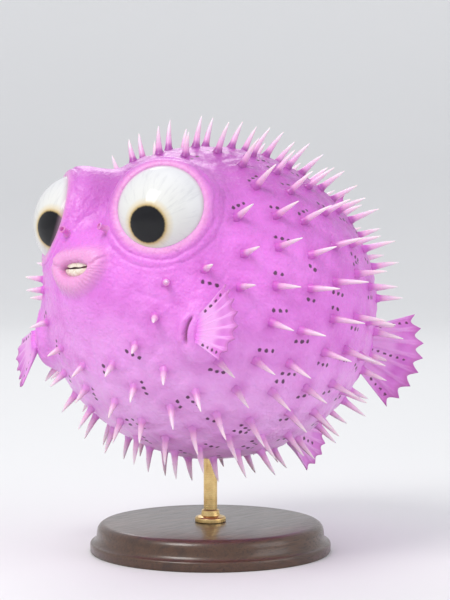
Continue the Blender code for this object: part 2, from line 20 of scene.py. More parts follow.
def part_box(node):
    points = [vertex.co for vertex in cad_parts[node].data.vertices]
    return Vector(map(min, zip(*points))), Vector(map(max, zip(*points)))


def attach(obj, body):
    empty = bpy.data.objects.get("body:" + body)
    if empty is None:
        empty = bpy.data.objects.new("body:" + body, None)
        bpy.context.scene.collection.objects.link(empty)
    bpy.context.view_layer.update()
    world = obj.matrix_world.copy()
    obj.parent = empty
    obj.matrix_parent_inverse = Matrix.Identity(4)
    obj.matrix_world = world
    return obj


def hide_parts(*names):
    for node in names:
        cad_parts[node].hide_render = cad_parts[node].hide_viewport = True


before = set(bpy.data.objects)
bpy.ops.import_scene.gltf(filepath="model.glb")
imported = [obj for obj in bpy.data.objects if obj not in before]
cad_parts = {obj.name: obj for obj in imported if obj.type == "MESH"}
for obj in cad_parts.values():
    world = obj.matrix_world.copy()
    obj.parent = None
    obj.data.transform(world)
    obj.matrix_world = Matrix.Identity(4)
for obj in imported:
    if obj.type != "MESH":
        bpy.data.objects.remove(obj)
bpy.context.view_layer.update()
print("nodes:", ", ".join(sorted(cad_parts)))

# %% [markdown]
# ## The camera
#
# The camera comes first, so that every later step can be looked at from the right side. A long lens far
# away keeps the ball round, where a short one close by would swell the nose. It stands to the fish's left
# front, almost level with it.

# %% The camera
BALL_CENTRE = Vector((0.0, 0.0, 0.128))
VIEW_TURN = -45  # degrees from the fish's left side, negative towards its front
VIEW_RISE = 4
LENS = 135.0
VIEW_HEIGHT = 0.3075  # what the upright picture takes in, top to bottom, at the fish
AIM_RIGHT = 0.0075
AIM_UP = 0.0015


def towards(azimuth, elevation):
    """The direction from the fish to what stands at this turn and height, both in degrees."""
    turn, rise = math.radians(azimuth), math.radians(elevation)
    return Vector((math.sin(turn) * math.cos(rise), -math.cos(turn) * math.cos(rise), math.sin(rise)))


def put_in_scene(name, data, back=None, middle=BALL_CENTRE, distance=0.0):
    """A new object in the scene; with a direction, it stands that far off and faces the middle."""
    made = bpy.data.objects.new(name, data)
    bpy.context.scene.collection.objects.link(made)
    if back is not None:
        made.location = middle + back * distance
        made.rotation_euler = back.to_track_quat("Z", "Y").to_euler()
    return made


def aim_camera():
    """A camera on the left front of the fish, aimed a little beside the middle of its body."""
    back = towards(VIEW_TURN, VIEW_RISE)
    right = Vector((math.cos(math.radians(VIEW_TURN)), math.sin(math.radians(VIEW_TURN)), 0.0))
    lens = bpy.data.cameras.new("picture")
    lens.lens = LENS
    distance = VIEW_HEIGHT * LENS / lens.sensor_width
    middle = BALL_CENTRE + right * AIM_RIGHT + back.cross(right) * AIM_UP
    bpy.context.scene.camera = put_in_scene("picture", lens, back, middle, distance)
    return distance


print("camera distance", round(aim_camera(), 3), "m")

# %% [markdown]
# ## The body as a blend of rounded forms
#
# A blown-up pufferfish is a ball with a face. The ball, the snout, the eye cups, the lips, the tail stalk
# and the bases of the fins are each a simple form whose distance from any point is easy to work out.
# `melt` joins two of them and fills the crease, the way skin bridges a hollow, and `carve` takes one away,
# such as the hollow between the brows. A sphere whose vertices are drawn in along their own rays until
# they meet this blend gives one closed skin. Sculpting by hand could give the same form, but a blend of
# named forms stays easy to change.

# %% Sizes of the fish
BALL = (0.088, 0.082, 0.079)
MOUTH_CENTRE = (-0.0922, 0.0, -0.001)
MOUTH_HALF_WIDTH = 0.0128
MOUTH_HALF_HEIGHT = 0.0066
LIP_THICKNESS = 0.0041
SMILE = 0.0024  # how far the corners of the mouth turn up
EYE_RADIUS = 0.0255
EYE_CENTRE = (-0.0655, 0.0300, 0.0300)
EYE_AXIS = (-0.84, 0.53, 0.09)
ORBIT_SKIN = 0.0030
ORBIT_RIM = 0.0128
STALK_CENTRE = (0.074, 0.0, -0.003)
PECTORAL_ROOT = (-0.0610, 0.0545, -0.0260)
# Smaller forms of the body, each a centre and its radii.
SNOUT = ((-0.068, 0, 0.000), (0.022, 0.026, 0.021))
BROW_HOLLOW = ((-0.094, 0, 0.050), (0.020, 0.012, 0.024))
TAIL_STALK = (STALK_CENTRE, (0.038, 0.0120, 0.0150))
DORSAL_BASE = ((0.060, 0, 0.046), (0.020, 0.006, 0.014))
ANAL_BASE = ((0.062, 0, -0.044), (0.018, 0.006, 0.013))
PECTORAL_BASE = ((-0.0580, 0.0520, -0.0260), (0.009, 0.007, 0.014))
MOUTH_OPENING = ((-0.0945, 0, -0.0004), (0.0085, 0.0096, 0.0036))
# The widths over which the creases between the forms are filled, or their edges rounded.
SNOUT_BLEND = 0.018
ORBIT_BLEND = 0.009
LIP_BLEND = 0.004
TAIL_BLEND = 0.030
FIN_BASE_BLEND = 0.014
PECTORAL_BLEND = 0.010
MOUTH_EDGE = 0.002
CUP_EDGE = 0.003
RIM_BLEND = 0.0012

# %% Forms that melt together


def ellipsoid(points, centre, radii):
    """About the distance from each point to an ellipsoid's surface, negative inside it."""
    local = (points - np.array(centre)) / np.array(radii)
    size = np.linalg.norm(local, axis=-1)
    slope = np.linalg.norm(local / np.array(radii), axis=-1)
    return size * (size - 1.0) / np.maximum(slope, 1e-9)


def melt(a, b, width):
    """Two forms joined, with the crease between them filled over a width."""
    near = np.maximum(width - np.abs(a - b), 0.0) / width
    return np.minimum(a, b) - near * near * width / 4


def carve(a, b, width):
    """Form a with form b taken away, and the edge between them rounded over a width."""
    return -melt(-a, b, width)


def smooth_step(values, start, end):
    """0 before start, 1 after end and an eased slope between, for a number or an array."""
    share = np.clip((values - start) / (end - start), 0.0, 1.0)
    return share * share * (3.0 - 2.0 * share)


# %% The mouth and the eye cups


def mouth_outline(points):
    """How far each point is outside the mouth's outline, seen from the front, corners turned up."""
    y, z = points[:, 1], points[:, 2] - SMILE * (points[:, 1] / MOUTH_HALF_WIDTH) ** 2
    return ellipsoid(
        np.stack([y, z], axis=1), (0.0, MOUTH_CENTRE[2]), (MOUTH_HALF_WIDTH, MOUTH_HALF_HEIGHT)
    )


def lips(points):
    """A fleshy ring round the mouth."""
    return np.hypot(mouth_outline(points), points[:, 0] - MOUTH_CENTRE[0]) - LIP_THICKNESS


def unit(vectors):
    """This vector, or each of these, at a length of 1."""
    return vectors / np.linalg.norm(vectors, axis=-1, keepdims=True)


EYE_TURN = unit(np.array(EYE_AXIS))
EYE_OPENING = math.sqrt(EYE_RADIUS**2 - ORBIT_RIM**2)  # radius of the ring where the eye comes out
RIM_RING_RADIUS = EYE_OPENING + 0.0002
RIM_RING_AHEAD = ORBIT_RIM - 0.0014
RIM_THICKNESS = 0.0020


def eye_polar(points):
    """How far each point is ahead of the eye's centre, and how far from the eye's axis."""
    local = points - np.array(EYE_CENTRE)
    ahead = local @ EYE_TURN
    beside = np.linalg.norm(local - ahead[:, None] * EYE_TURN, axis=1)
    return ahead, beside


def orbit(points):
    """The cup of skin that holds an eye, with a rolled rim where the eyeball comes out."""
    ahead, beside = eye_polar(points)
    cup = ellipsoid(points, EYE_CENTRE, (EYE_RADIUS + ORBIT_SKIN,) * 3)
    cup = carve(cup, ORBIT_RIM - ahead, CUP_EDGE)
    rim = np.hypot(beside - RIM_RING_RADIUS, ahead - RIM_RING_AHEAD) - RIM_THICKNESS
    return melt(cup, rim, RIM_BLEND)


# %% The whole body


def as_rows(points):
    """Points as rows of three numbers."""
    return np.asarray(points, float).reshape(-1, 3)


def one_side(points):
    """Points of both sides of the fish brought to its right side, where the forms are described."""
    return points * (1, 0, 1) + np.abs(points) * (0, 1, 0)


def closed_form(points):
    """About the distance from each point to the fish's skin, as if its mouth were filled."""
    side = one_side(as_rows(points))
    body = melt(ellipsoid(side, (0, 0, 0), BALL), ellipsoid(side, *SNOUT), SNOUT_BLEND)
    body = carve(body, ellipsoid(side, *BROW_HOLLOW), SNOUT_BLEND)
    body = melt(body, orbit(side), ORBIT_BLEND)
    body = melt(body, lips(side), LIP_BLEND)
    for form, width in (
        (TAIL_STALK, TAIL_BLEND), (DORSAL_BASE, FIN_BASE_BLEND), (ANAL_BASE, FIN_BASE_BLEND),
        (PECTORAL_BASE, PECTORAL_BLEND),
    ):
        body = melt(body, ellipsoid(side, *form), width)
    return body


def body_form(points):
    """The same with the mouth's opening carved out, in the fish's own frame."""
    points = as_rows(points)
    return carve(closed_form(points), ellipsoid(points, *MOUTH_OPENING), MOUTH_EDGE)


START = 0.17  # from the middle, well outside the fish
STRIDE = 0.6  # share of the distance left that each round takes, so that it can't jump past a fold
ROUNDS = 64
EXACT_ROUNDS = 90  # for the few points that other pieces are set on
NORMAL_STEP = 0.0006
ROOT_STEP = 0.0008  # a little wider, for the skin under a root


def wrap(directions, rounds=ROUNDS, form=body_form):
    """Points on the skin, each along its own direction from the middle of the ball."""
    directions = unit(as_rows(directions))
    reach = np.full(len(directions), START)
    for _ in range(rounds):
        reach -= STRIDE * form(directions * reach[:, None])
    return directions * reach[:, None]


def skin_normal(points, step=NORMAL_STEP):
    """Outward normals of the skin at these points, from how the form's distance changes."""
    points = as_rows(points)
    slopes = [body_form(points + axis) - body_form(points - axis) for axis in np.eye(3) * step]
    return unit(np.stack(slopes, axis=1))


def exact_root(direction):
    """The point of the skin in this direction, and the skin's normal there."""
    root = wrap(direction, EXACT_ROUNDS)[0]
    return root, skin_normal(root, ROOT_STEP)[0]


def backward(normals):
    """The way along the skin to the tail, shorter where the skin faces ahead or back."""
    return np.array([1.0, 0.0, 0.0]) - normals * normals[..., :1]


print("snout tip", wrap((-1, 0, -0.09))[0].round(4), "tail end", wrap((1, 0, 0.02))[0].round(4))

# %% [markdown]
# ## From the fish's frame to the stand
#
# The forms are described with the fish straight and level, because symmetry is easy there. `place` then
# bends the tail to the fish's left, leans the fish to its right, tips the nose up and lifts it to the
# height of its rod. It is the same for every piece, so fins and spines stay on the skin they grow from.
# Only the tail fin, which is tall, is bent as a whole, where the fins above and below it are spared.

# %% The pose
NOSE_UP = math.radians(13)
LEAN = math.radians(5)
BEND_START_X = 0.074
BEND_END_X = 0.110
BEND_PIVOT_X = 0.078
BEND_SIDE = math.radians(49)
BEND_DOWN = math.radians(14)
BEND_FADE_START = 0.022  # above or below the tail stalk's middle, to spare the dorsal and anal fins
BEND_FADE_END = 0.038


def turn_plane(points, first, second, angle, pivot=0.0):
    """Turns points in the plane of two axes, by one angle or one each, round a place on the first."""
    c, s = np.cos(angle), np.sin(angle)
    a, b = points[:, first] - pivot, points[:, second].copy()
    points[:, first] = pivot + a * c + b * s
    points[:, second] = b * c - a * s


def place(points, spare_fins=True):
    """Takes points from the fish's own frame to its pose on the stand: bent, leaning, nose up."""
    points = as_rows(points).copy()
    share = smooth_step(points[:, 0], BEND_START_X, BEND_END_X)
    if spare_fins:
        from_stalk = np.abs(points[:, 2] - STALK_CENTRE[2])
        share *= 1.0 - smooth_step(from_stalk, BEND_FADE_START, BEND_FADE_END)
    turn_plane(points, 0, 1, BEND_SIDE * share, BEND_PIVOT_X)
    turn_plane(points, 0, 2, BEND_DOWN * share, BEND_PIVOT_X)
    turn_plane(points, 1, 2, LEAN)
    turn_plane(points, 0, 2, NOSE_UP)
    points[:, 2] += BALL_CENTRE.z
    return points


def set_places(verts, points):
    """Gives each vertex its new place."""
    for vert, point in zip(verts, points):
        vert.co = point


def pose(bm, spare_fins=True):
    """Takes a whole piece to the fish's pose."""
    set_places(bm.verts, place([vert.co for vert in bm.verts], spare_fins))


# %% [markdown]
# ## Where the spines grow
#
# The spines of a porcupinefish are scales drawn out to needles, and like scales they stand in staggered
# rows. The body is ringed round its long axis, each ring takes as many spines as its girth has room for,
# and a little seeded scatter keeps the rows from looking machined. The mouth, eyes, fin roots, tail stalk
# and the place of the rod stay bare. Their places are worked out before the skin, because the skin is
# drawn up into a small tent round each of them.

# %% Rings round the body
SPINE_SPACING = 0.0182
SPINE_LENGTH_FACE = 0.0085
SPINE_LENGTH_FLANK = 0.0165
SPINE_BASE_RADIUS = 0.0022
SPINE_LEAN = 0.38
SPINE_SEED = 11
FACE_START_X = -0.045  # ahead of here the rings can be set closer together
HEAD_CUT_X = -0.0440
HEAD_CUT_LEAN = 0.30
BELLY_CUT_Z = -0.031
CUT_CLEARANCE = 0.0020
SCATTER = {"along": 0.014, "round": 0.10, "sideways": 0.07, "length": 0.10}


def around_axis(polar, turn):
    """A direction from its angle to the snout and its turn round the long axis, 0 at the top."""
    ring = np.sin(polar)
    return np.stack([-np.cos(polar), ring * np.sin(turn), ring * np.cos(turn)], axis=-1)


def ring_angles(count, form, face_share=0.0, turn=math.radians(100)):
    """Angles from snout to tail, even along the skin or closer on the face, and the outline's length."""
    fine = np.linspace(0.0, math.pi, 721)
    outline = wrap(around_axis(fine, np.full(len(fine), turn)), EXACT_ROUNDS, form)
    steps = np.linalg.norm(np.diff(outline, axis=0), axis=1)
    length = steps.sum()
    steps *= 1.0 + face_share * (1.0 - smooth_step(outline[1:, 0], FACE_START_X, 0.0))
    along = np.concatenate([[0.0], np.cumsum(steps)])
    return np.interp(np.linspace(0.0, along[-1], count), along, fine), length


def rod_top():
    """Where the rod's axis meets the belly, in the fish's own frame."""
    down = np.array([math.tan(NOSE_UP), math.sin(LEAN), -math.cos(LEAN)])
    return exact_root(down)[0]


# %% Bare places and lengths
DORSAL_ROOT = (0.071, 0.0, 0.048)
ANAL_ROOT = (0.073, 0.0, -0.046)
BARE_PLACES = (
    (MOUTH_CENTRE, 0.040), (EYE_CENTRE, 0.034), (PECTORAL_ROOT, 0.018),
    (DORSAL_ROOT, 0.018), (ANAL_ROOT, 0.017), (rod_top(), 0.013),
)
BARE_TAIL = math.radians(163)
GROWN = (math.radians(22), math.radians(72))  # from the snout: spines lengthen between these angles
FADED = (math.radians(125), math.radians(165))  # and shorten between these
TAIL_SHORTENING = 0.35
BELLY_SHORTENING = 0.12


def spine_free(root, polar):
    """True where the living fish has bare skin: mouth, eyes, fin roots, tail and the rod's place."""
    near = any(math.dist(one_side(root), centre) < reach for centre, reach in BARE_PLACES)
    return near or polar > BARE_TAIL


def behind_neck(point):
    """How far a point lies behind the line that ends the head."""
    return (point[0] - HEAD_CUT_X - HEAD_CUT_LEAN * point[2]) / math.hypot(1.0, HEAD_CUT_LEAN)


def clear_of_cuts(root):
    """A root moved a little off the lines where the solids are parted, and the normal there."""
    keep = SPINE_BASE_RADIUS + CUT_CLEARANCE
    neck, waist = behind_neck(root), root[2] - BELLY_CUT_Z
    if abs(neck) < keep:
        root[0] += math.copysign(keep, neck) - neck
    if abs(waist) < keep and behind_neck(root) > 0:
        root[2] += math.copysign(keep, waist) - waist
    return exact_root(root)


def spine_length(root, polar):
    """Short on the face, longest behind the pectoral fins, shorter again near the tail."""
    length = np.interp(polar, GROWN, (SPINE_LENGTH_FACE, SPINE_LENGTH_FLANK))
    faded = np.interp(polar, FADED, (1.0, 1.0 - TAIL_SHORTENING))
    belly = np.interp(-root[2], (0.0, BALL[2]), (1.0, 1.0 - BELLY_SHORTENING))
    return length * faded * belly


# %% All the spines


def spine_list():
    """(root, unit axis, length) of every spine, in the fish's frame, the two sides alike."""
    chance = random.Random(SPINE_SEED)
    outline = ring_angles(3, closed_form)[1]
    rings = round(outline / SPINE_SPACING)
    polars = ring_angles(rings + 1, closed_form)[0]
    found = []
    for ring, polar in enumerate(polars[1:-1]):
        girth = 2 * math.pi * BALL[1] * math.sin(polar)
        count = max(6, round(girth / SPINE_SPACING))
        for index in range(count // 2 + 1):
            turn = (index + 0.5 * (ring % 2)) * 2 * math.pi / count
            jitter = [chance.uniform(-1, 1) for _ in range(4)]
            if turn > math.pi + 1e-6:
                continue
            free = 0.0 if min(turn, math.pi - turn) < 1e-6 else 1.0  # 0 on the fish's middle line
            aside = free * SCATTER["round"] * jitter[1] / max(1.5, count / 6)
            direction = around_axis(polar + SCATTER["along"] * jitter[0], turn + aside)
            root = exact_root(direction)[0]
            if spine_free(root, polar):
                continue
            root, normal = clear_of_cuts(root)
            back = backward(normal)
            sideways = np.cross(normal, back) * SCATTER["sideways"] * free * jitter[2]
            axis = unit(normal + SPINE_LEAN * back + sideways)
            length = spine_length(root, polar) * (1.0 + SCATTER["length"] * jitter[3])
            found.append((root, axis, length))
            if free:
                found.append((root * (1, -1, 1), axis * (1, -1, 1), length))
    return found


spines = spine_list()
print(len(spines), "spines")

# %% [markdown]
# ## Where the dark dots lie
#
# The fish's skin carries small plum-dark dots in short rows of two or three beside the spines. They could
# be painted on an image. Here only their middles are worked out: later every corner of the skin's faces
# stores the way from the nearest dot, and the material makes a spot where that way is short. The spots
# then stay round and sharp however close one looks.

# %% Rows of dots beside the spines
DOT_STEP = 0.0035
DOT_RADIUS = 0.00095
DOT_SEED = 5
DOT_ASIDE = (0.0048, 0.0062)  # how far beside a spine a row starts
DOT_SLANT = 0.5
DOTS_IN_A_ROW = (0, 2, 3, 3)


def dot_rows():
    """Centres of the dots, in the fish's frame: a short row on one side of most spines."""
    chance = random.Random(DOT_SEED)
    rays = []
    for root, _, _ in spines:
        normal = skin_normal(root)[0]
        back = unit(backward(normal))
        side = np.cross(normal, back) * chance.choice((-1, 1))
        start = root + side * chance.uniform(*DOT_ASIDE) - back * 0.001
        slant = chance.uniform(-DOT_SLANT, DOT_SLANT)
        run = back * math.cos(slant) + side * math.sin(slant)
        for index in range(chance.choice(DOTS_IN_A_ROW)):
            rays.append(start + run * DOT_STEP * index)
    return wrap(rays)


dots = dot_rows()
print(len(dots), "dots")

# %% [markdown]
# ## The skin
#
# The skin starts as a sphere whose poles are the mouth and the tail, so that its rings run round the
# mouth like the rings of muscle in real lips. It is drawn in, and the faces round the eyes and the gill
# openings are then divided and drawn in once more, so that thin rims and folds have enough vertices to
# show. Small forms are raised along the skin's normals: tents at the spines, pillows between them, folds
# round the eye and the gill slit in front of the fin.

# %% A sphere, finest on the face
SKIN_SEGMENTS = 340
SKIN_RINGS = 200
FACE_SHARE = 0.7  # how much closer together the rings are on the face
GILL_CENTRE = (-0.0690, 0.0490, -0.0262)
GILL_AHEAD = 0.0052  # how far the gill opening lies ahead of the fin's root
FINER_PLACES = ((EYE_CENTRE, 0.0335), (GILL_CENTRE, 0.0120))


def needs_finer_mesh(face):
    """True for a face of the skin round an eye or a gill opening."""
    middle = one_side(np.array(face.calc_center_median()))
    return any(math.dist(middle, centre) < reach for centre, reach in FINER_PLACES)


def face_outwards(bm):
    """Turns all faces of a closed piece outwards."""
    bmesh.ops.recalc_face_normals(bm, faces=bm.faces[:])


def triangulate_wide_faces(bm):
    """Cuts every face of more than four corners into triangles."""
    bmesh.ops.triangulate(bm, faces=[face for face in bm.faces if len(face.verts) > 4])


def skin_sphere():
    """A closed mesh of the bare skin in the fish's frame."""
    bm = bmesh.new()
    bmesh.ops.create_uvsphere(bm, u_segments=SKIN_SEGMENTS, v_segments=SKIN_RINGS, radius=1.0)
    polars = ring_angles(SKIN_RINGS + 1, body_form, FACE_SHARE)[0]
    x, y, z = np.array([vert.co for vert in bm.verts]).T
    rings = np.rint(np.arccos(np.clip(z, -1.0, 1.0)) / math.pi * SKIN_RINGS).astype(int)
    set_places(bm.verts, wrap(around_axis(polars[rings], np.arctan2(y, x))))
    edges = list({edge for face in bm.faces if needs_finer_mesh(face) for edge in face.edges})
    bmesh.ops.subdivide_edges(bm, edges=edges, cuts=1, use_grid_fill=True)
    set_places(bm.verts, wrap([v.co for v in bm.verts]))
    triangulate_wide_faces(bm)
    face_outwards(bm)
    return bm


skin_mesh = skin_sphere()
print("skin:", sum(len(f.verts) - 2 for f in skin_mesh.faces), "triangles")

# %% Helpers for small forms


def nearest(centres, points, count=1):
    """For each point: the index of the nearest centre, and rows of distances to the nearest few."""
    tree = KDTree(len(centres))
    for index, centre in enumerate(centres):
        tree.insert(centre, index)
    tree.balance()
    found = [tree.find_n(point, count) for point in points]
    index = np.array([near[0][1] for near in found])
    return index, np.array([[distance for _, _, distance in near] for near in found]).T


def hump(values, middle, width):
    """1 where the values are at the middle, and fading on both sides within about twice the width."""
    return np.exp(-(((values - middle) / width) ** 2))


# %% Tents, pillows and folds
TENT_RADIUS = 0.0056
TENT_HEIGHT = 0.0018
TENT_ARM = 0.28  # how much further the tent's three arms reach
ARM_RIDGE = 0.00036  # a low ridge goes on from each arm
ARM_RIDGE_AT = 0.0055
ARM_RIDGE_WIDTH = 0.0026
PILLOW_HEIGHT = 0.00055
PILLOW_REACH = 0.016  # past this distance from a spine there is one wide pillow
PILLOW_SLOPE = 0.007
PILLOW_START = 0.006
FOLD_WANDER = 0.0006
# Depth, place outside the eye's opening, width, and the way it wanders, of each fold.
FOLDS = ((0.0007, 0.0042, 0.0008, 1), (0.00045, 0.0078, 0.0009, -1))


def tents_and_pillows(points):
    """Height over the bare skin: a three-armed tent at each spine, and pillows between them."""
    roots = np.array([root for root, _, _ in spines])
    index, (near, far) = nearest(roots, points, 2)
    normals = skin_normal(roots)
    backs = unit(backward(normals))
    sides = np.cross(normals, backs)
    offset = points - roots[index]
    around = np.arctan2((offset * sides[index]).sum(axis=1), (offset * backs[index]).sum(axis=1))
    arms = np.cos(3.0 * around + math.pi)
    rise = np.maximum(0.0, 1.0 - near / (TENT_RADIUS * (1.0 + TENT_ARM * arms)))
    ridge = ARM_RIDGE * np.maximum(0.0, arms) ** 2 * hump(near, ARM_RIDGE_AT, ARM_RIDGE_WIDTH)
    pillow = np.where(near < PILLOW_REACH, np.minimum(1.0, (far - near) / PILLOW_SLOPE), 1.0)
    swell = PILLOW_HEIGHT * (1.0 - (1.0 - pillow) ** 2) * np.minimum(1.0, near / PILLOW_START)
    return TENT_HEIGHT * rise**2.2 + ridge + swell, near


def eye_folds(points):
    """Two soft creases in the skin round each eye."""
    ahead, beside = eye_polar(points)
    wander = FOLD_WANDER * np.sin(points[:, 2] * 420) * np.cos(points[:, 0] * 300)
    outside = beside - EYE_OPENING
    depth = sum(deep * hump(outside + way * wander, at, width) for deep, at, width, way in FOLDS)
    return -depth * smooth_step(ahead, -0.004, 0.004)


# %% The gill slit and the mouth's creases
SLIT_HALF_HEIGHT = 0.0080
SLIT_CURVE = 0.0022
SLIT_DEPTH = 0.0022
SLIT_WIDTH = 0.0007
SLIT_REACH = 0.018  # past this distance from the fin's root there is no slit
FLAP_HEIGHT = 0.0010
FLAP_AHEAD = 0.0022
FLAP_WIDTH = 0.0015
FURROWS = 34  # fine furrows round the mouth
FURROW_DEPTH = 0.00022
FURROW_AT = 0.003  # outside the mouth's outline
FURROW_REACH = 0.0035
CORNER_DEPTH = 0.0011
CORNER_WIDTH = 0.0008
CORNER_LENGTH = 0.0060
CORNER_RISE = 0.0052
SNOUT_START = 0.080  # how far ahead of the ball's middle the front of the snout starts


def gill_slit(points):
    """The relief of the gill opening, which curves round the fin's root, and how far in it points lie, as a
    mask for the painted shade in the slit.
    """
    root = wrap(PECTORAL_ROOT)[0]
    normal = skin_normal(root)[0]
    back = unit(backward(normal))
    offset = points - root
    upward = offset @ np.cross(back, normal) / SLIT_HALF_HEIGHT
    from_slit = offset @ back + GILL_AHEAD - SLIT_CURVE * upward * upward
    window = smooth_step(1.0 - np.abs(upward), 0.0, 0.4)
    window = window * (np.linalg.norm(offset, axis=1) < SLIT_REACH)
    slit = hump(from_slit, 0.0, SLIT_WIDTH)
    flap = hump(from_slit, -FLAP_AHEAD, FLAP_WIDTH)
    return (FLAP_HEIGHT * flap - SLIT_DEPTH * slit) * window, slit**2 * window


def mouth_creases(points):
    """Fine furrows that run out over the lips and the snout, and a crease that lifts each corner."""
    around = np.arctan2(points[:, 2] - MOUTH_CENTRE[2], points[:, 1] * 0.55)
    furrow = 0.5 + 0.5 * np.cos(around * FURROWS + 1.3 * np.sin(around * 5))
    on_front = smooth_step(-points[:, 0], SNOUT_START, SNOUT_START + 0.008)
    window = hump(mouth_outline(points), FURROW_AT, FURROW_REACH) * on_front
    along = (points[:, 1] - MOUTH_HALF_WIDTH + 0.001) / CORNER_LENGTH
    rise = MOUTH_CENTRE[2] + SMILE + CORNER_RISE * along * np.abs(along)
    corner = hump(points[:, 2], rise, CORNER_WIDTH) * hump(along, 0.45, 0.5)
    corner *= smooth_step(-points[:, 0], SNOUT_START - 0.010, SNOUT_START)
    return -FURROW_DEPTH * furrow * window - CORNER_DEPTH * corner


# %% The skin's attributes


def store(mesh, name, values):
    """Keeps one number for each vertex, which a material can read by its name."""
    layer = mesh.attributes.new(name, "FLOAT", "POINT")
    layer.data.foreach_set("value", np.asarray(values, np.float32))


def store_ways_to_dots(mesh, points):
    """Keeps the way from the dot nearest to each face to every corner of that face.

    Unlike a distance, such a way stays exact between the corners, so small dots come out round.
    """
    corners = np.empty(len(mesh.loops), np.int32)
    mesh.loops.foreach_get("vertex_index", corners)
    starts, sizes = np.empty((2, len(mesh.polygons)), np.int32)
    mesh.polygons.foreach_get("loop_start", starts)
    mesh.polygons.foreach_get("loop_total", sizes)
    places = points[corners]
    middles = np.add.reduceat(places, starts) / sizes[:, None]
    index, _ = nearest(dots, middles)
    ways = places - np.repeat(np.array(dots)[index], sizes, axis=0)
    layer = mesh.attributes.new("way_to_dot", "FLOAT_VECTOR", "CORNER")
    layer.data.foreach_set("vector", ways.astype(np.float32).ravel())


def finish_mesh(name, bm, material, node_names, smooth_angle=180):
    """Makes an object of a bmesh, in place of these nodes, with its finish and its body."""
    mesh = bpy.data.meshes.new(name)
    bm.to_mesh(mesh)
    bm.free()
    mesh.shade_smooth()
    if smooth_angle < 180:
        mesh.set_sharp_from_angle(angle=math.radians(smooth_angle))
    mesh.materials.append(material)
    made = put_in_scene(name, mesh)
    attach(made, "root")
    if node_names:
        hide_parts(*node_names)
    print(name, len(mesh.polygons), "faces")
    return made


# %% [markdown]
# ## Finishes that skin, fins and spine sheaths share
#
# Wet fish skin is made of very small, soft bumps with paler and darker clouds under them. That grain is a
# node group whose scale is set where it is used, so that skin, fins and spines can all share it.

# %% Helpers for materials


def add_node(tree, kind, settings=None, **inputs):
    """A node with its settings, and each input set to a value or linked to another node's socket."""
    made = tree.nodes.new(kind)
    for key, value in (settings or {}).items():
        setattr(made, key, value)
    for key, value in inputs.items():
        socket = made.inputs[int(key[1:])] if key[1:].isdigit() else made.inputs[key.replace("_", " ")]
        if isinstance(value, bpy.types.NodeSocket):
            tree.links.new(value, socket)
        else:
            socket.default_value = value
    return made


def ramp(tree, value, stops):
    """Colours along a value, given as (position, colour) pairs."""
    made = add_node(tree, "ShaderNodeValToRGB", Fac=value)
    elements = made.color_ramp.elements
    while len(elements) < len(stops):
        elements.new(0.5)
    for element, (position, colour) in zip(elements, stops):
        element.position = position
        element.color = (*colour, 1.0)
    return made.outputs["Color"]


def blend_colours(tree, mask, a, b, mode="MIX"):
    """Colour a where the mask is 0 and colour b, or its effect in another mode, where it is 1."""
    made = add_node(tree, "ShaderNodeMix", {"data_type": "RGBA", "blend_type": mode})
    for index, value in ((0, mask), (6, a), (7, b)):
        if isinstance(value, bpy.types.NodeSocket):
            tree.links.new(value, made.inputs[index])
        elif index == 0:
            made.inputs[0].default_value = value
        else:
            made.inputs[index].default_value = (*value, 1.0)
    return made.outputs[2]


def math_node(tree, operation, a, b=0.0, c=0.0):
    """One step of arithmetic on numbers or sockets."""
    made = add_node(tree, "ShaderNodeMath", {"operation": operation}, _0=a, _1=b, _2=c)
    return made.outputs[0]


def fade(tree, value, start, end, low=0.0, high=1.0):
    """An eased change from low to high while the value goes from start to end."""
    made = add_node(
        tree, "ShaderNodeMapRange", {"interpolation_type": "SMOOTHSTEP"},
        _0=value, _1=start, _2=end, _3=low, _4=high,
    )
    return made.outputs[0]


def attribute(tree, name, output="Fac"):
    """What the mesh stores under this name: a number, or a way as a Vector."""
    return add_node(tree, "ShaderNodeAttribute", {"attribute_name": name}).outputs[output]


def object_place(tree, stretch=None):
    """Each point's place in metres, stretched along the axes where a pattern has a direction."""
    place_of = add_node(tree, "ShaderNodeTexCoord").outputs["Object"]
    if stretch is None:
        return place_of
    return add_node(tree, "ShaderNodeMapping", Vector=place_of, Scale=stretch).outputs[0]


def noise(tree, place_of, scale, detail, output=0, **more):
    """A cloudy noise: its strength, or with output 1 its three colours."""
    return add_node(
        tree, "ShaderNodeTexNoise", Vector=place_of, Scale=scale, Detail=detail, **more
    ).outputs[output]


def cells(tree, place_of, scale, smoothness):
    """The distance from the middles of soft, packed cells."""
    return add_node(
        tree, "ShaderNodeTexVoronoi", {"feature": "SMOOTH_F1"},
        Vector=place_of, Scale=scale, Smoothness=smoothness,
    ).outputs["Distance"]


def principled(name, **values):
    """A material with its own Principled shader, and plain values on that shader's sockets."""
    made = bpy.data.materials.new(name)
    made.use_nodes = True
    shader = made.node_tree.nodes["Principled BSDF"]
    for key, value in values.items():
        shader.inputs[key.replace("_", " ")].default_value = value
    return made, made.node_tree, shader


def paint(tree, shader, colour, roughness=None):
    """Feeds a colour, and a roughness where it varies, to the shader."""
    tree.links.new(colour, shader.inputs["Base Color"])
    if roughness is not None:
        tree.links.new(roughness, shader.inputs["Roughness"])


# %% The grain of wet skin
GRAIN_WANDER = 0.0022  # how far the cells are pushed out of their places
GRAIN_WANDER_SCALE = 180.0
CUSHION_SCALE = 0.55  # the other patterns' scales, as shares of the pebbles'
CRINKLE_SCALE = 2.1
CLOUD_SCALE = 0.075
DOT_UNEVEN = 0.0014
DOT_RIM = 0.0003


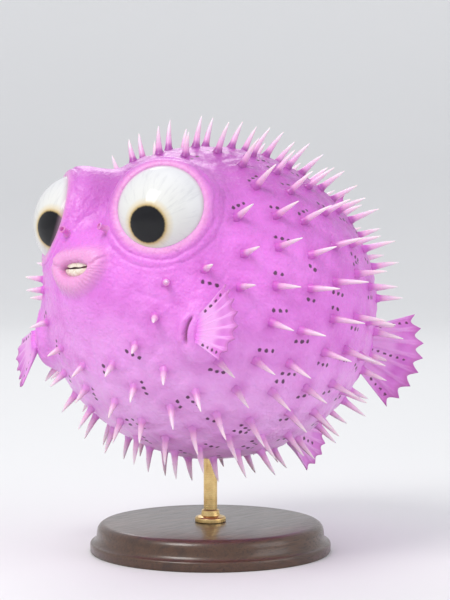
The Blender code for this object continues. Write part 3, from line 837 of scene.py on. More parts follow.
def make_grain():
    """A node group: soft bumps, clouds of tone and a fine speckle at a chosen scale."""
    tree = bpy.data.node_groups.new("wet skin grain", "ShaderNodeTree")
    tree.interface.new_socket("Scale", in_out="INPUT", socket_type="NodeSocketFloat")
    given = tree.nodes.new("NodeGroupInput").outputs["Scale"]
    place_of = object_place(tree)
    wander = noise(tree, place_of, GRAIN_WANDER_SCALE, 2.0, output=1)
    shifted = add_node(
        tree, "ShaderNodeVectorMath", {"operation": "MULTIPLY_ADD"},
        _0=wander, _1=(GRAIN_WANDER,) * 3, _2=place_of,
    ).outputs[0]
    pebble = cells(tree, shifted, given, 0.45)
    cushion = cells(tree, shifted, math_node(tree, "MULTIPLY", given, CUSHION_SCALE), 0.7)
    crinkle = noise(tree, place_of, math_node(tree, "MULTIPLY", given, CRINKLE_SCALE), 3.0, Roughness=0.6)
    raised = math_node(tree, "MULTIPLY_ADD", cushion, -0.9, 1.6)
    raised = math_node(tree, "MULTIPLY_ADD", pebble, -0.7, raised)
    cloud_scale = math_node(tree, "MULTIPLY", given, CLOUD_SCALE)
    results = {
        "Height": math_node(tree, "MULTIPLY_ADD", crinkle, 0.55, raised),
        "Clouds": noise(tree, place_of, cloud_scale, 4.0, Roughness=0.62),
        "Speckle": noise(tree, place_of, given, 1.0),
    }
    for name in results:
        tree.interface.new_socket(name, in_out="OUTPUT", socket_type="NodeSocketFloat")
    out = tree.nodes.new("NodeGroupOutput")
    for name, value in results.items():
        tree.links.new(value, out.inputs[name])
    return tree


GRAIN = make_grain()


def grain(tree, scale):
    """The grain group in a material: its height, its clouds and its speckle."""
    made = add_node(tree, "ShaderNodeGroup", {"node_tree": GRAIN}, Scale=scale)
    return made.outputs["Height"], made.outputs["Clouds"], made.outputs["Speckle"]


def dotted(tree, colour, speckle, from_dot, radius):
    """Plum dots of a radius over a colour, with uneven rims, by the distance from their middles."""
    uneven = math_node(tree, "MULTIPLY_ADD", speckle, DOT_UNEVEN, -DOT_UNEVEN / 2 - radius)
    from_rim = math_node(tree, "ADD", uneven, from_dot)
    spot = fade(tree, from_rim, DOT_RIM, -DOT_RIM, 0.0, 0.93)
    return blend_colours(tree, spot, colour, PLUM)


def bumped(tree, shader, height, distance, strength=1.0):
    """Feeds a height to the shader as fine relief."""
    made = add_node(tree, "ShaderNodeBump", Strength=strength, Distance=distance, Height=height)
    tree.links.new(made.outputs[0], shader.inputs["Normal"])


# %% Colours of the fish
PINK_BACK = (0.46, 0.100, 0.45)
PINK_FLANK = (0.79, 0.21, 0.77)
PINK_BELLY = (0.88, 0.44, 0.88)
PINK_LIPS = (0.80, 0.34, 0.66)
PLUM = (0.055, 0.010, 0.045)
# The mouth's dark red lining, deepened by painted shade of its cavity; the gill slit takes it too, as
# painted shade.
MOUTH_RED_AND_SHADE = (0.16, 0.02, 0.06)
SPINE_IVORY = (0.88, 0.64, 0.78)
# The next tint is painted shade: a darker pink round the foot of every spine, on skin and spine alike.
SPINE_FOOT_SHADE_TINT = (0.86, 0.66, 0.82)  # multiplies the pink round the foot of a spine
BLOTCH_TINT = (0.80, 0.70, 0.78)
FLANK_TONE = 0.42  # the tone that the flank has, from 0 on the belly to 1 on the back
SKIN_GRAIN = 620.0


def fish_pink(tree, clouds):
    """The pink of the skin: pale where the stored tone is 0, dark where it is 1, and clouded."""
    tone = math_node(tree, "MULTIPLY_ADD", clouds, 0.34, -0.17)
    tone = math_node(tree, "ADD", tone, attribute(tree, "tone"))
    pink = ramp(tree, tone, ((0.0, PINK_BELLY), (FLANK_TONE, PINK_FLANK), (1.0, PINK_BACK)))
    blotch = fade(tree, clouds, 0.42, 0.62, 0.0, 0.35)
    return blend_colours(tree, blotch, pink, BLOTCH_TINT, "MULTIPLY")


def skin_material():
    """Orchid-pink skin: darker above, paler below, clouded, dotted and moist."""
    made, tree, shader = principled(
        "orchid skin", Roughness=0.4, Subsurface_Weight=0.18, Subsurface_Scale=0.004, Coat_Weight=0.22,
        Coat_Roughness=0.22, Specular_IOR_Level=0.45,
    )
    shader.inputs["Subsurface Radius"].default_value = (1.0, 0.35, 0.5)
    height, clouds, speckle = grain(tree, SKIN_GRAIN)
    body = blend_colours(tree, attribute(tree, "lip"), fish_pink(tree, clouds), PINK_LIPS)
    # Painted shade: the skin is darkened round the foot of each spine.
    body = blend_colours(tree, attribute(tree, "spine_foot_shade"), body, SPINE_FOOT_SHADE_TINT, "MULTIPLY")
    way = attribute(tree, "way_to_dot", "Vector")
    from_dot = add_node(tree, "ShaderNodeVectorMath", {"operation": "LENGTH"}, _0=way).outputs["Value"]
    body = dotted(tree, body, speckle, from_dot, DOT_RADIUS)
    # The mouth's red lining with painted shade of its cavity, and painted shade in the gill slit.
    body = blend_colours(tree, attribute(tree, "inside"), body, MOUTH_RED_AND_SHADE)
    paint(tree, shader, body, fade(tree, clouds, 0.35, 0.7, 0.33, 0.48))
    bumped(tree, shader, height, 0.0006, 0.7)
    return made


ORCHID_SKIN = skin_material()

# %% Raise the small forms and keep the skin's attributes


def skin_tone(points):
    """How dark the skin is: 1 on the back, 0 on the belly."""
    above = smooth_step(points[:, 2], -0.005, 0.085)
    below = smooth_step(-points[:, 2], 0.0, 0.075)
    return FLANK_TONE + 0.62 * above - FLANK_TONE * below


def dress_skin(bm):
    """Raises the small forms, stores what the material reads, and poses the skin."""
    points = np.array([v.co for v in bm.verts])
    side = one_side(points)
    slit_height, slit = gill_slit(side)
    tents, from_spine = tents_and_pillows(points)
    raised = tents + eye_folds(side) + slit_height + mouth_creases(side)
    normals = skin_normal(points)
    outside = mouth_outline(side)
    on_snout = smooth_step(-points[:, 0], SNOUT_START, SNOUT_START + 0.006)
    ahead, beside = eye_polar(side)
    rim = hump(beside, EYE_OPENING, 0.0022) * smooth_step(ahead, 0.004, 0.009)
    inside = smooth_step(-outside, 0.0028, 0.0048) * on_snout
    values = {
        "tone": skin_tone(points),
        "lip": np.maximum((1.0 - smooth_step(outside, 0.0015, 0.0075)) * on_snout, rim * 0.8),
        # Where the mouth's lining with the painted shade of its cavity lies, and the painted shade in the
        # gill slit.
        "inside": np.maximum(inside, slit * 0.85),
        # Where the painted shade round the foot of each spine lies.
        "spine_foot_shade": hump(from_spine, 0.0, 0.0042),
    }
    set_places(bm.verts, place(points + normals * raised[:, None]))
    made = finish_mesh(
        "skin", bm, ORCHID_SKIN, ("head", "back", "belly", "tail_stalk")
    )
    for name, numbers in values.items():
        store(made.data, name, numbers)
    store_ways_to_dots(made.data, points)
    return made


skin = dress_skin(skin_mesh)
print("skin stands", round(max(v.co.z for v in skin.data.vertices), 4), "m high")

# %% [markdown]
# ## The spines
#
# Each spine is a smooth needle with a soft sheath of skin at its foot, a slight backward curve and a
# blunt pale tip. One needle is spun from a short outline, then copied to each root, turned to its lean,
# stretched to its length and bent. All of them are joined to one piece. Each copy gets its own small patch
# of the UV map, placed where its root lies on an unrolled skin.

# %% One needle
NEEDLE_OUTLINE = ((1.65, -0.12), (1.16, 0.02), (0.86, 0.15), (0.66, 0.44), (0.39, 0.76), (0.13, 0.965))
NEEDLE_SIDES = 8
PATCH = 0.003  # size of one spine's patch of the UV map


def spun(outline, steps):
    """An outline of (radius, height) points turned once round the Z axis."""
    bm = bmesh.new()
    verts = [bm.verts.new((radius, 0.0, height)) for radius, height in outline]
    edges = [bm.edges.new(pair) for pair in zip(verts, verts[1:])]
    bmesh.ops.spin(
        bm, geom=verts + edges, cent=(0, 0, 0), axis=(0, 0, 1), angle=2 * math.pi,
        steps=steps, use_merge=True,
    )
    return bm


def only_verts(made):
    """The vertices among what an extrusion made."""
    return [item for item in made["geom"] if isinstance(item, bmesh.types.BMVert)]


def needle():
    """A unit needle along +Z, spun from its outline and closed at the tip and foot."""
    bm = spun(NEEDLE_OUTLINE, NEEDLE_SIDES)
    tip_ring = [e for e in bm.edges if e.is_boundary and e.verts[0].co.z > 0.9]
    tip_verts = only_verts(bmesh.ops.extrude_edge_only(bm, edges=tip_ring))
    bmesh.ops.pointmerge(bm, verts=tip_verts, merge_co=(0, 0, 1))
    bmesh.ops.holes_fill(bm, edges=[e for e in bm.edges if e.is_boundary])
    face_outwards(bm)
    mesh = bpy.data.meshes.new("one needle")
    bm.to_mesh(mesh)
    bm.free()
    return mesh


NEEDLE = needle()
print("a needle has", sum(len(p.vertices) - 2 for p in NEEDLE.polygons), "triangles")

# %% Needles on every root
NEEDLE_RADIUS = SPINE_BASE_RADIUS * 0.92
NEEDLE_FOOT = TENT_HEIGHT * 0.35  # how high up its tent a needle stands
NEEDLE_CURVE = 0.12


def turn_share(y, x):
    """An angle as a share of a whole turn, from 0 to 1."""
    return math.atan2(y, x) / (2 * math.pi) + 0.5


def unrolled(root):
    """A root's place on the skin unrolled to a square: round the axis, and from snout to tail."""
    polar = math.acos(-unit(root)[0]) / math.pi
    return 0.01 + 0.97 * turn_share(root[1], root[2]), 0.01 + 0.97 * polar


def grow_spines():
    """All the needles as one mesh, with their along-the-spine number and their UV patches."""
    bm = bmesh.new()
    layer = bm.loops.layers.uv.new("OFBake")
    along = bm.verts.layers.float.new("along")
    tone = bm.verts.layers.float.new("tone")
    tones = skin_tone(np.array([root for root, _, _ in spines]))
    for (root, axis, length), root_tone in zip(spines, tones):
        before = len(bm.verts)
        bm.from_mesh(NEEDLE)
        bm.verts.ensure_lookup_table()
        copies = bm.verts[before:]
        turn = np.array(Vector(axis).to_track_quat("Z", "Y").to_matrix())
        shape = np.array([v.co for v in copies])
        local = shape * (NEEDLE_RADIUS, NEEDLE_RADIUS, length - NEEDLE_FOOT)
        height = np.maximum(shape[:, 2], 0.0)
        curve = NEEDLE_CURVE * length * (height**2 - height)
        points = root + axis * NEEDLE_FOOT + local @ turn.T + curve[:, None] * backward(axis)
        set_places(copies, place(points))
        u0, v0 = unrolled(root)
        for vert, (x, y, z) in zip(copies, shape):
            vert[along] = z
            vert[tone] = root_tone
            for loop in vert.link_loops:
                loop[layer].uv = (u0 + PATCH * turn_share(y, x), v0 + PATCH * max(0.0, z))
    return bm


# %% [markdown]
# The finish of a spine runs along its length: the skin's own pink at the sheath, darkened there by the
# same painted shade as the skin round its foot, then translucent ivory with a rosy tinge, and palest at the
# tip. The number `along` that each vertex stores drives it, and `tone` is the darkness of the skin at the
# root, so that foot and skin match.

# %% The spines' finish


def spine_material():
    """From a skin-pink foot, darkened by painted shade, to smooth ivory."""
    made, tree, shader = principled(
        "spine ivory", Roughness=0.3, Subsurface_Weight=0.15, Subsurface_Scale=0.002, Coat_Weight=0.25,
        Coat_Roughness=0.15,
    )
    height, clouds, _ = grain(tree, SKIN_GRAIN)
    shifted = math_node(tree, "MULTIPLY_ADD", clouds, 0.16, -0.08)
    shifted = math_node(tree, "ADD", shifted, attribute(tree, "along"))
    # Painted shade: the foot of every spine takes the skin's pink darkened by the same tint as the skin
    # round it.
    spine_foot_shade = blend_colours(tree, 1.0, fish_pink(tree, clouds), SPINE_FOOT_SHADE_TINT, "MULTIPLY")
    bone = ramp(tree, shifted, (
        (0.15, (0.72, 0.30, 0.62)), (0.32, (0.82, 0.44, 0.72)), (0.66, SPINE_IVORY),
        (1.0, (0.94, 0.80, 0.84)),
    ))
    colour = blend_colours(tree, fade(tree, shifted, 0.06, 0.24), spine_foot_shade, bone)
    paint(tree, shader, colour, fade(tree, shifted, 0.1, 0.5, 0.42, 0.26))
    bumped(tree, shader, height, 0.0003, 0.5)
    return made


finish_mesh("spines", grow_spines(), spine_material(), ())

# %% [markdown]
# ## The fins
#
# A fin is a fan of jointed rays with a thin membrane between them. The sheet is a grid laid out along the
# rays, with one direction running from the root to the edge. The grid is given two sides whose distance
# changes: thick and fleshy at the root, a ridge over each ray that splits in two towards the edge, and
# thin membrane between. The edge is notched between the rays, so it looks jagged.

# %% Fin sizes
TAIL_FIN = {"root": 0.019, "length": 0.037, "fan": (30, -38), "rays": 8, "root_thick": 0.0052}
PECTORAL_FIN = {"root": 0.013, "length": 0.025, "fan": (42, -38), "rays": 8, "root_thick": 0.0036}
DORSAL_FIN = {"root": 0.018, "length": 0.028, "fan": (46, -16), "rays": 7, "root_thick": 0.0042}
ANAL_FIN = {"root": 0.015, "length": 0.024, "fan": (44, -14), "rays": 7, "root_thick": 0.0040}
FIN_SCALLOP = 0.12
FIN_DOT_RADIUS = 0.0008
FIN_DOT_STEP = 0.0036
FIN_DOT_REACH = 0.004  # past this distance the dots don't matter
FIN_COLUMNS_PER_RAY = 14
FIN_ROWS = 46
MEMBRANE_THICK = 0.00055
RAY_THICK = 0.00095  # what a ray adds
RAY_JOINTS = 17
TAIL_FIN_X = 0.103
ROOT_DEPTH = 0.002  # how far a fin's root lies below the skin


def fin_sheet(fin, u, v):
    """Points of the fin's middle sheet: u from its upper to its lower ray, v from root to tip."""
    top, bottom = fin["fan"]
    angle = np.radians(top + (bottom - top) * u)
    between = np.abs(np.sin(np.pi * (fin["rays"] - 1) * u))
    rounded = 1.0 - 0.16 * (2 * u - 1) ** 2
    reach = fin["length"] * rounded * (1.0 - FIN_SCALLOP * between * smooth_step(v, 0.35, 1.0))
    across = 0.05 * fin["length"] * v * v * np.sin(2.4 * np.pi * u)
    across += 0.010 * fin["length"] * v * np.sin(2 * np.pi * (fin["rays"] - 1) * u)
    height = (0.5 - u) * fin["root"] + v * reach * np.sin(angle)
    return np.stack([v * reach * np.cos(angle), across, height], axis=-1)


def fin_thickness(fin, u, v):
    """Thickness of the fin: fleshy root, ridges over the rays, thin membrane between them."""
    place_in_ray = (u * (fin["rays"] - 1)) % 1.0
    from_ray = np.minimum(place_in_ray, 1.0 - place_in_ray)
    ridge = hump(from_ray, 0.13 * smooth_step(v, 0.55, 1.0), 0.10 + 0.05 * (1.0 - v))
    joints = 1.0 + 0.10 * np.cos(2 * np.pi * v * RAY_JOINTS) * smooth_step(v, 0.15, 0.4)
    thin = MEMBRANE_THICK + RAY_THICK * ridge * joints * (1.0 - 0.55 * v)
    return thin + (fin["root_thick"] - 0.0006) * (1.0 - v) ** 2.6


# %% Rows of dots on a fin


def fin_dot_distance(fin, points, rows):
    """Distance to the nearest dot of rows that follow some rays, given as (u, first v, last v)."""
    centres = []
    for u, first, last in rows:
        line = fin_sheet(fin, np.full(60, u), np.linspace(first, last, 60))
        gone = np.concatenate([[0.0], np.cumsum(np.linalg.norm(np.diff(line, axis=0), axis=1))])
        for at in np.arange(0.0, gone[-1], FIN_DOT_STEP):
            centres.append([np.interp(at, gone, line[:, axis]) for axis in range(3)])
    return np.minimum(nearest(centres, points)[1][0], FIN_DOT_REACH)


def fin_mesh(fin, rows):
    """A closed fan in the fin's own frame, with what its material reads."""
    columns = FIN_COLUMNS_PER_RAY * (fin["rays"] - 1)
    bm = bmesh.new()
    layers = [bm.verts.layers.float.new(name) for name in ("along", "ridge", "from_dot")]
    bmesh.ops.create_grid(bm, x_segments=columns, y_segments=FIN_ROWS, size=0.5)
    near_side = list(bm.verts)
    far_side = only_verts(bmesh.ops.extrude_face_region(bm, geom=bm.faces[:], use_keep_orig=True))
    roots = []
    for verts, side in ((near_side, -1), (far_side, 1)):
        u, v, _ = np.array([vert.co for vert in verts]).T + 0.5
        here = fin_sheet(fin, u, v)
        along = fin_sheet(fin, u, v + 0.01) - fin_sheet(fin, u, v - 0.01)
        down = fin_sheet(fin, u + 0.004, v) - fin_sheet(fin, u - 0.004, v)
        thick = fin_thickness(fin, u, v)
        set_places(verts, here + unit(np.cross(down, along)) * (side * thick / 2)[:, None])
        ridge = (thick - MEMBRANE_THICK) / RAY_THICK
        for vert, *numbers in zip(verts, v, ridge, fin_dot_distance(fin, here, rows)):
            for layer, number in zip(layers, numbers):
                vert[layer] = number
        roots += [vert for vert, share in zip(verts, v) if share < 1e-6]
    face_outwards(bm)
    return bm, roots


def set_on_skin(bm, roots, start, out, up):
    """Turns a fin's +X to out and its +Z to nearly up, and sinks its root into the skin at start."""
    out = Vector(out)
    ahead = out.normalized()
    across = Vector(up).cross(ahead).normalized()
    turned = Matrix((ahead, across, ahead.cross(across))).transposed().to_4x4()
    bmesh.ops.transform(
        bm, matrix=Matrix.Translation(Vector(start) + out * 0.001) @ turned, verts=bm.verts[:]
    )
    landed = wrap([vert.co for vert in roots])
    set_places(roots, landed - skin_normal(landed) * ROOT_DEPTH)


def mirror_to(side, bm):
    """Takes a piece made on the fish's right, side +1, to its left where the side is -1."""
    if side < 0:
        bmesh.ops.scale(bm, vec=(1, -1, 1), verts=bm.verts[:])
        bmesh.ops.reverse_faces(bm, faces=bm.faces[:])


SIDES = {"right": 1, "left": -1}


# %% The fins' finish
MEMBRANE_DARK = (0.62, 0.17, 0.60)
MEMBRANE_PALE = (0.72, 0.27, 0.70)
RAY_PINK = (0.82, 0.42, 0.80)
EDGE_PINK = (0.46, 0.12, 0.40)


def fin_material():
    """Thin pink membrane, paler rays, dark dots in rows, and skin at the root."""
    made, tree, shader = principled(
        "fin membrane", Roughness=0.38, Subsurface_Weight=0.25, Subsurface_Scale=0.003, Coat_Weight=0.2,
        Coat_Roughness=0.2,
    )
    shader.inputs["Subsurface Radius"].default_value = (1.0, 0.4, 0.6)
    height, clouds, speckle = grain(tree, 700.0)
    colour = blend_colours(tree, fade(tree, clouds, 0.35, 0.65), MEMBRANE_DARK, MEMBRANE_PALE)
    along = attribute(tree, "along")
    for mask, tint in (
        (fade(tree, attribute(tree, "ridge"), 0.15, 0.75, 0.0, 0.8), RAY_PINK),
        (fade(tree, along, 0.86, 1.0, 0.0, 0.6), EDGE_PINK),
        (fade(tree, along, 0.22, 0.0), PINK_FLANK),
    ):
        colour = blend_colours(tree, mask, colour, tint)
    paint(tree, shader, dotted(tree, colour, speckle, attribute(tree, "from_dot"), FIN_DOT_RADIUS))
    bumped(tree, shader, height, 0.0002, 0.4)
    return made


FIN_MEMBRANE = fin_material()

# %% The tail fin


def dress_fin(node, bm):
    """Poses a fin made in the fish's frame and puts it in place of its node."""
    pose(bm, spare_fins=node != "tail_fin")
    finish_mesh(node + "_rayed", bm, FIN_MEMBRANE, (node,))


def tail_fin():
    """The tail fin, with three rows of dots along its rays."""
    rows = ((1 / 14, 0.25, 0.92), (1 / 2, 0.25, 0.86), (13 / 14, 0.25, 0.92))
    bm, _ = fin_mesh(TAIL_FIN, rows)
    bmesh.ops.translate(bm, vec=(TAIL_FIN_X, 0, STALK_CENTRE[2]), verts=bm.verts[:])
    return bm


dress_fin("tail_fin", tail_fin())

# %% The pectoral fins
PECTORAL_SPREAD = {"left": math.radians(52), "right": math.radians(37)}
PECTORAL_DROOP = {"left": -0.30, "right": 0.95}
PECTORAL_UP = (0.18, 0, 1)


def pectoral_fin(word, side):
    """A pectoral fin, side +1 for the fish's right and -1 for its left."""
    bm, roots = fin_mesh(PECTORAL_FIN, ((1 / 14, 0.25, 0.9), (13 / 14, 0.25, 0.9)))
    start, normal = exact_root(PECTORAL_ROOT)
    flank = np.cross(normal, (0.0, 0.0, 1.0))
    spread = PECTORAL_SPREAD[word]
    out = Vector(flank * math.cos(spread) + normal * math.sin(spread)).normalized()
    out.z -= PECTORAL_DROOP[word]
    set_on_skin(bm, roots, start, out.normalized(), PECTORAL_UP)
    mirror_to(side, bm)
    return bm


for word, side in SIDES.items():
    dress_fin(f"pectoral_fin_{word}", pectoral_fin(word, side))

# %% The dorsal and anal fins
DORSAL_ANGLE = math.radians(37)
ANAL_ANGLE = math.radians(-38)


def middle_fin(fin, angle, flip):
    """The dorsal fin, or the anal fin where flip is 1: it stands on the rear of the ball."""
    bm, roots = fin_mesh(fin, ((1 / 12, 0.3, 0.85), (7 / 12, 0.3, 0.8)))
    start, normal = exact_root((math.cos(angle), 0, math.sin(angle)))
    out = normal * 0.8 + unit(backward(normal)) * 0.6
    set_on_skin(bm, roots, start, out, np.cross(normal, (0, flip, 0)))
    return bm


dress_fin("dorsal_fin", middle_fin(DORSAL_FIN, DORSAL_ANGLE, -1))
dress_fin("anal_fin", middle_fin(ANAL_FIN, ANAL_ANGLE, 1))

# %% [markdown]
# ## The eyes
#
# A pufferfish's eye is a wide silvery disc with a round black pupil under a wet, clear cornea. The ball's
# pole points the way the eye looks, so a UV map that counts round the pole and away from it starts at the
# pupil, and rings and streaks of the iris follow from it. A clear coat on the shader gives the wet shine.

# %% Eyeballs
GAZE = {"right": (-0.94, -0.12, -0.31), "left": (-0.85, 0.38, -0.36)}
EYEBALL_RADIUS = EYE_RADIUS * 0.995
CORNEA_SWELL = 0.035


def eyeball(word, side):
    """A ball whose pole is the pupil, with the cornea swelling a little over it."""
    bm = bmesh.new()
    bmesh.ops.create_uvsphere(bm, u_segments=96, v_segments=64, radius=1.0)
    layer = bm.loops.layers.uv.new("gaze")
    edge = bm.verts.layers.float.new("edge")
    for face in bm.faces:
        middle = turn_share(face.calc_center_median().y, face.calc_center_median().x)
        for loop in face.loops:
            x, y, z = loop.vert.co
            around = turn_share(y, x) if math.hypot(x, y) > 1e-6 else middle
            around += round(middle - around)  # on the same side of the seam as the face's middle
            loop[layer].uv = (around, math.acos(max(-1.0, min(1.0, z))) / math.pi)
    turned = Vector(GAZE[word]).to_track_quat("Z", "Y").to_matrix().to_4x4()
    for vert in bm.verts:
        looks = (turned @ vert.co).normalized()
        vert[edge] = math.degrees(looks.angle(Vector(EYE_AXIS)))
        vert.co *= EYEBALL_RADIUS * (1.0 + CORNEA_SWELL * hump(vert.co.z, 1.0, 0.16))
    bmesh.ops.transform(bm, matrix=Matrix.Translation(EYE_CENTRE) @ turned, verts=bm.verts[:])
    mirror_to(side, bm)
    pose(bm)
    return bm


PUPIL_BLACK = (0.004, 0.004, 0.006)
STREAKS_AROUND = 9.0
STREAKS_OUTWARD = 7.0


def eye_material():
    """Black pupil, thin gold ring, silvery iris with faint streaks, and a dark edge that is partly the
    iris's own rim and partly painted shade under the socket, under a wet coat.
    """
    made, tree, shader = principled(
        "wet eye", Roughness=0.3, Specular_IOR_Level=0.1, Coat_Weight=1.0, Coat_Roughness=0.02,
        Coat_IOR=1.34,
    )
    uv = add_node(tree, "ShaderNodeUVMap", {"uv_map": "gaze"}).outputs[0]
    around, outward, _ = add_node(tree, "ShaderNodeSeparateXYZ", Vector=uv).outputs
    around = math_node(tree, "MULTIPLY", around, 2 * math.pi)
    across = math_node(tree, "MULTIPLY", math_node(tree, "COSINE", around), STREAKS_AROUND)
    upward = math_node(tree, "MULTIPLY", math_node(tree, "SINE", around), STREAKS_AROUND)
    stretched = math_node(tree, "MULTIPLY", outward, STREAKS_OUTWARD)
    streak_at = add_node(tree, "ShaderNodeCombineXYZ", X=across, Y=upward, Z=stretched).outputs[0]
    streaks = noise(tree, streak_at, 1.0, 5.0, Roughness=0.65)
    wobble = math_node(tree, "MULTIPLY_ADD", streaks, 0.012, -0.006)
    iris = ramp(tree, math_node(tree, "ADD", wobble, outward), (
        (0.0, PUPIL_BLACK), (0.108, PUPIL_BLACK), (0.116, (0.55, 0.40, 0.18)),
        (0.132, (0.70, 0.62, 0.46)), (0.165, (0.72, 0.72, 0.69)), (0.40, (0.68, 0.68, 0.70)),
    ))
    veins = fade(tree, streaks, 0.48, 0.72, 0.0, 0.32)
    iris = blend_colours(tree, veins, iris, (0.66, 0.66, 0.70), "MULTIPLY")
    # Partly the iris's own dark rim, partly painted shade: the eyeball darkens where it goes under the
    # socket's edge.
    rim = fade(tree, attribute(tree, "edge"), 50.0, 61.0, 0.0, 0.85)
    paint(tree, shader, blend_colours(tree, rim, iris, (0.42, 0.26, 0.36)))
    return made


WET_EYE = eye_material()
for word, side in SIDES.items():
    finish_mesh(f"eyeball_{word}", eyeball(word, side), WET_EYE, (f"eye_{word}",))

# %% [markdown]
# ## The beak
#
# The family is named for its two teeth: the upper and the lower jaw each carry one plate, fused without a
# seam. Each plate is half of a flattened ball, drawn in a little at its blunt, slightly wavy biting edge.

# %% The two tooth plates
BEAK_CENTRE = (MOUTH_CENTRE[0] + 0.0030, 0.0, MOUTH_CENTRE[2] + 0.0010)
BEAK_RADII = (0.0060, 0.0112, 0.0052)
BEAK_GAP = 0.0003
BITE_HEIGHT = 0.0022
BITE_NARROWING = 0.10
BITE_WAVE = 0.0005
BEAK_SMILE = 0.0020


def tooth_plate(side):
    """One tooth plate, side +1 for the upper and -1 for the lower."""
    bm = bmesh.new()
    bmesh.ops.create_uvsphere(bm, u_segments=48, v_segments=32, radius=1.0)
    geometry = bm.verts[:] + bm.edges[:] + bm.faces[:]
    cut = bmesh.ops.bisect_plane(
        bm, geom=geometry, plane_co=(0, 0, 0), plane_no=(0, 0, -side), clear_outer=True, dist=1e-6
    )
    rim = [item for item in cut["geom_cut"] if isinstance(item, bmesh.types.BMEdge)]
    bmesh.ops.edgenet_fill(bm, edges=rim)
    triangulate_wide_faces(bm)
    bmesh.ops.scale(bm, vec=BEAK_RADII, verts=bm.verts[:])
    for vert in bm.verts:
        near_edge = 1.0 - min(1.0, abs(vert.co.z) / BITE_HEIGHT)
        vert.co.x *= 1.0 - BITE_NARROWING * near_edge
        vert.co.z += side * (BEAK_GAP + BITE_WAVE * near_edge * math.cos(vert.co.y * 420) ** 2)
        vert.co.z += BEAK_SMILE * (vert.co.y / BEAK_RADII[1]) ** 2
    bmesh.ops.translate(bm, vec=BEAK_CENTRE, verts=bm.verts[:])
    face_outwards(bm)
    pose(bm)
    return bm


def beak_material():
    """Ivory enamel, clouded with a darker yellow."""
    made, tree, shader = principled("beak ivory", Roughness=0.28, Coat_Weight=0.5, Coat_Roughness=0.1)
    bands = noise(tree, object_place(tree), 520.0, 4.0, Roughness=0.6)
    paint(tree, shader, ramp(tree, bands, ((0.3, (0.70, 0.58, 0.42)), (0.6, (0.88, 0.82, 0.70)))))
    bumped(tree, shader, bands, 0.0002, 0.4)
    return made


BEAK_IVORY = beak_material()
for node, side in (("upper_beak", 1), ("lower_beak", -1)):
    finish_mesh(node + "_plate", tooth_plate(side), BEAK_IVORY, (node,), 50)

# %% [markdown]
# ## The nostril tentacles
#
# Between eye and mouth each side carries one short fleshy tube, which holds the nostril. It starts as a
# cylinder whose end is inset and pushed in, and its foot widens into the skin.

# %% Nostrils
NOSTRIL_CENTRE = (-0.0868, 0.0140, 0.0190)
NOSTRIL_LENGTH = 0.006175
NOSTRIL_RADIUS = 0.00171
NOSTRIL_SUNK = 0.25  # share of its length that is below the skin
NOSTRIL_LEAN = (-0.25, 0.0, 0.25)


def nostril(side):
    """A short fleshy tentacle with a flared foot and a pitted tip."""
    bm = bmesh.new()
    bmesh.ops.create_cone(bm, cap_ends=True, segments=24, radius1=1.0, radius2=1.0, depth=2.0)
    sides = [e for e in bm.edges if abs(e.verts[0].co.z - e.verts[1].co.z) > 1.0]
    bmesh.ops.subdivide_edges(bm, edges=sides, cuts=9)
    top = [f for f in bm.faces if f.normal.z > 0.9]
    bmesh.ops.inset_region(bm, faces=top, thickness=0.32, depth=0.12)
    top = [f for f in bm.faces if f.normal.z > 0.9 and f.calc_center_median().xy.length < 0.1]
    bmesh.ops.inset_region(bm, faces=top, thickness=0.22, depth=-0.55)
    root, normal = exact_root(NOSTRIL_CENTRE)
    for vert in bm.verts:
        share = (vert.co.z + 1.0) / 2
        flare = 1.0 + 1.3 * max(0.0, 1.0 - share / 0.45) ** 2 + 0.12 * math.sin(share * math.pi * 2.2)
        vert.co.x *= NOSTRIL_RADIUS * flare
        vert.co.y *= NOSTRIL_RADIUS * flare
        vert.co.z = NOSTRIL_LENGTH * (share - NOSTRIL_SUNK)
    turned = Vector(normal + NOSTRIL_LEAN).to_track_quat("Z", "Y").to_matrix().to_4x4()
    bmesh.ops.transform(bm, matrix=Matrix.Translation(root) @ turned, verts=bm.verts[:])
    mirror_to(side, bm)
    face_outwards(bm)
    pose(bm)
    return bm


def tentacle_material():
    """The skin's pink, a little deeper, for a small bare piece."""
    made, tree, shader = principled(
        "tentacle skin", Roughness=0.4, Subsurface_Weight=0.2, Subsurface_Scale=0.003, Coat_Weight=0.25,
        Coat_Roughness=0.2,
    )
    height, clouds, _ = grain(tree, 900.0)
    paint(tree, shader, blend_colours(tree, clouds, (0.62, 0.18, 0.52), (0.78, 0.30, 0.68)))
    bumped(tree, shader, height, 0.0002, 0.4)
    return made


TENTACLE_SKIN = tentacle_material()
for word, side in SIDES.items():
    node = f"nostril_{word}"
    finish_mesh(node + "_tube", nostril(side), TENTACLE_SKIN, (node,), 60)

# %% [markdown]
# ## The stand
#
# The stand is what a museum workshop would turn: a round walnut base with a stepped edge, and a brass rod
# that leaves the base through a small collar. All three are turned shapes, so each is an outline spun
# round the rod's axis, with enough outline points at the edges for light to catch on them.

# %% Turned pieces
_, base_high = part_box("stand_base")
rod_low, rod_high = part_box("stand_rod")
collar_low, collar_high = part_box("stand_collar")


def turned_piece(outline, steps):
    """A turned mesh from an outline of (radius, height), closed where that meets the axis."""
    bm = spun(outline, steps)
    bmesh.ops.remove_doubles(bm, verts=bm.verts[:], dist=1e-6)
    face_outwards(bm)
    return bm


def quarter(radius, height, size, start, points=5):
    """A rounded corner of an outline: a quarter circle round (radius, height) from an angle down."""
    turns = [math.radians(start - 90 * k / (points - 1)) for k in range(points)]
    return [(radius + size * math.cos(t), height + size * math.sin(t)) for t in turns]


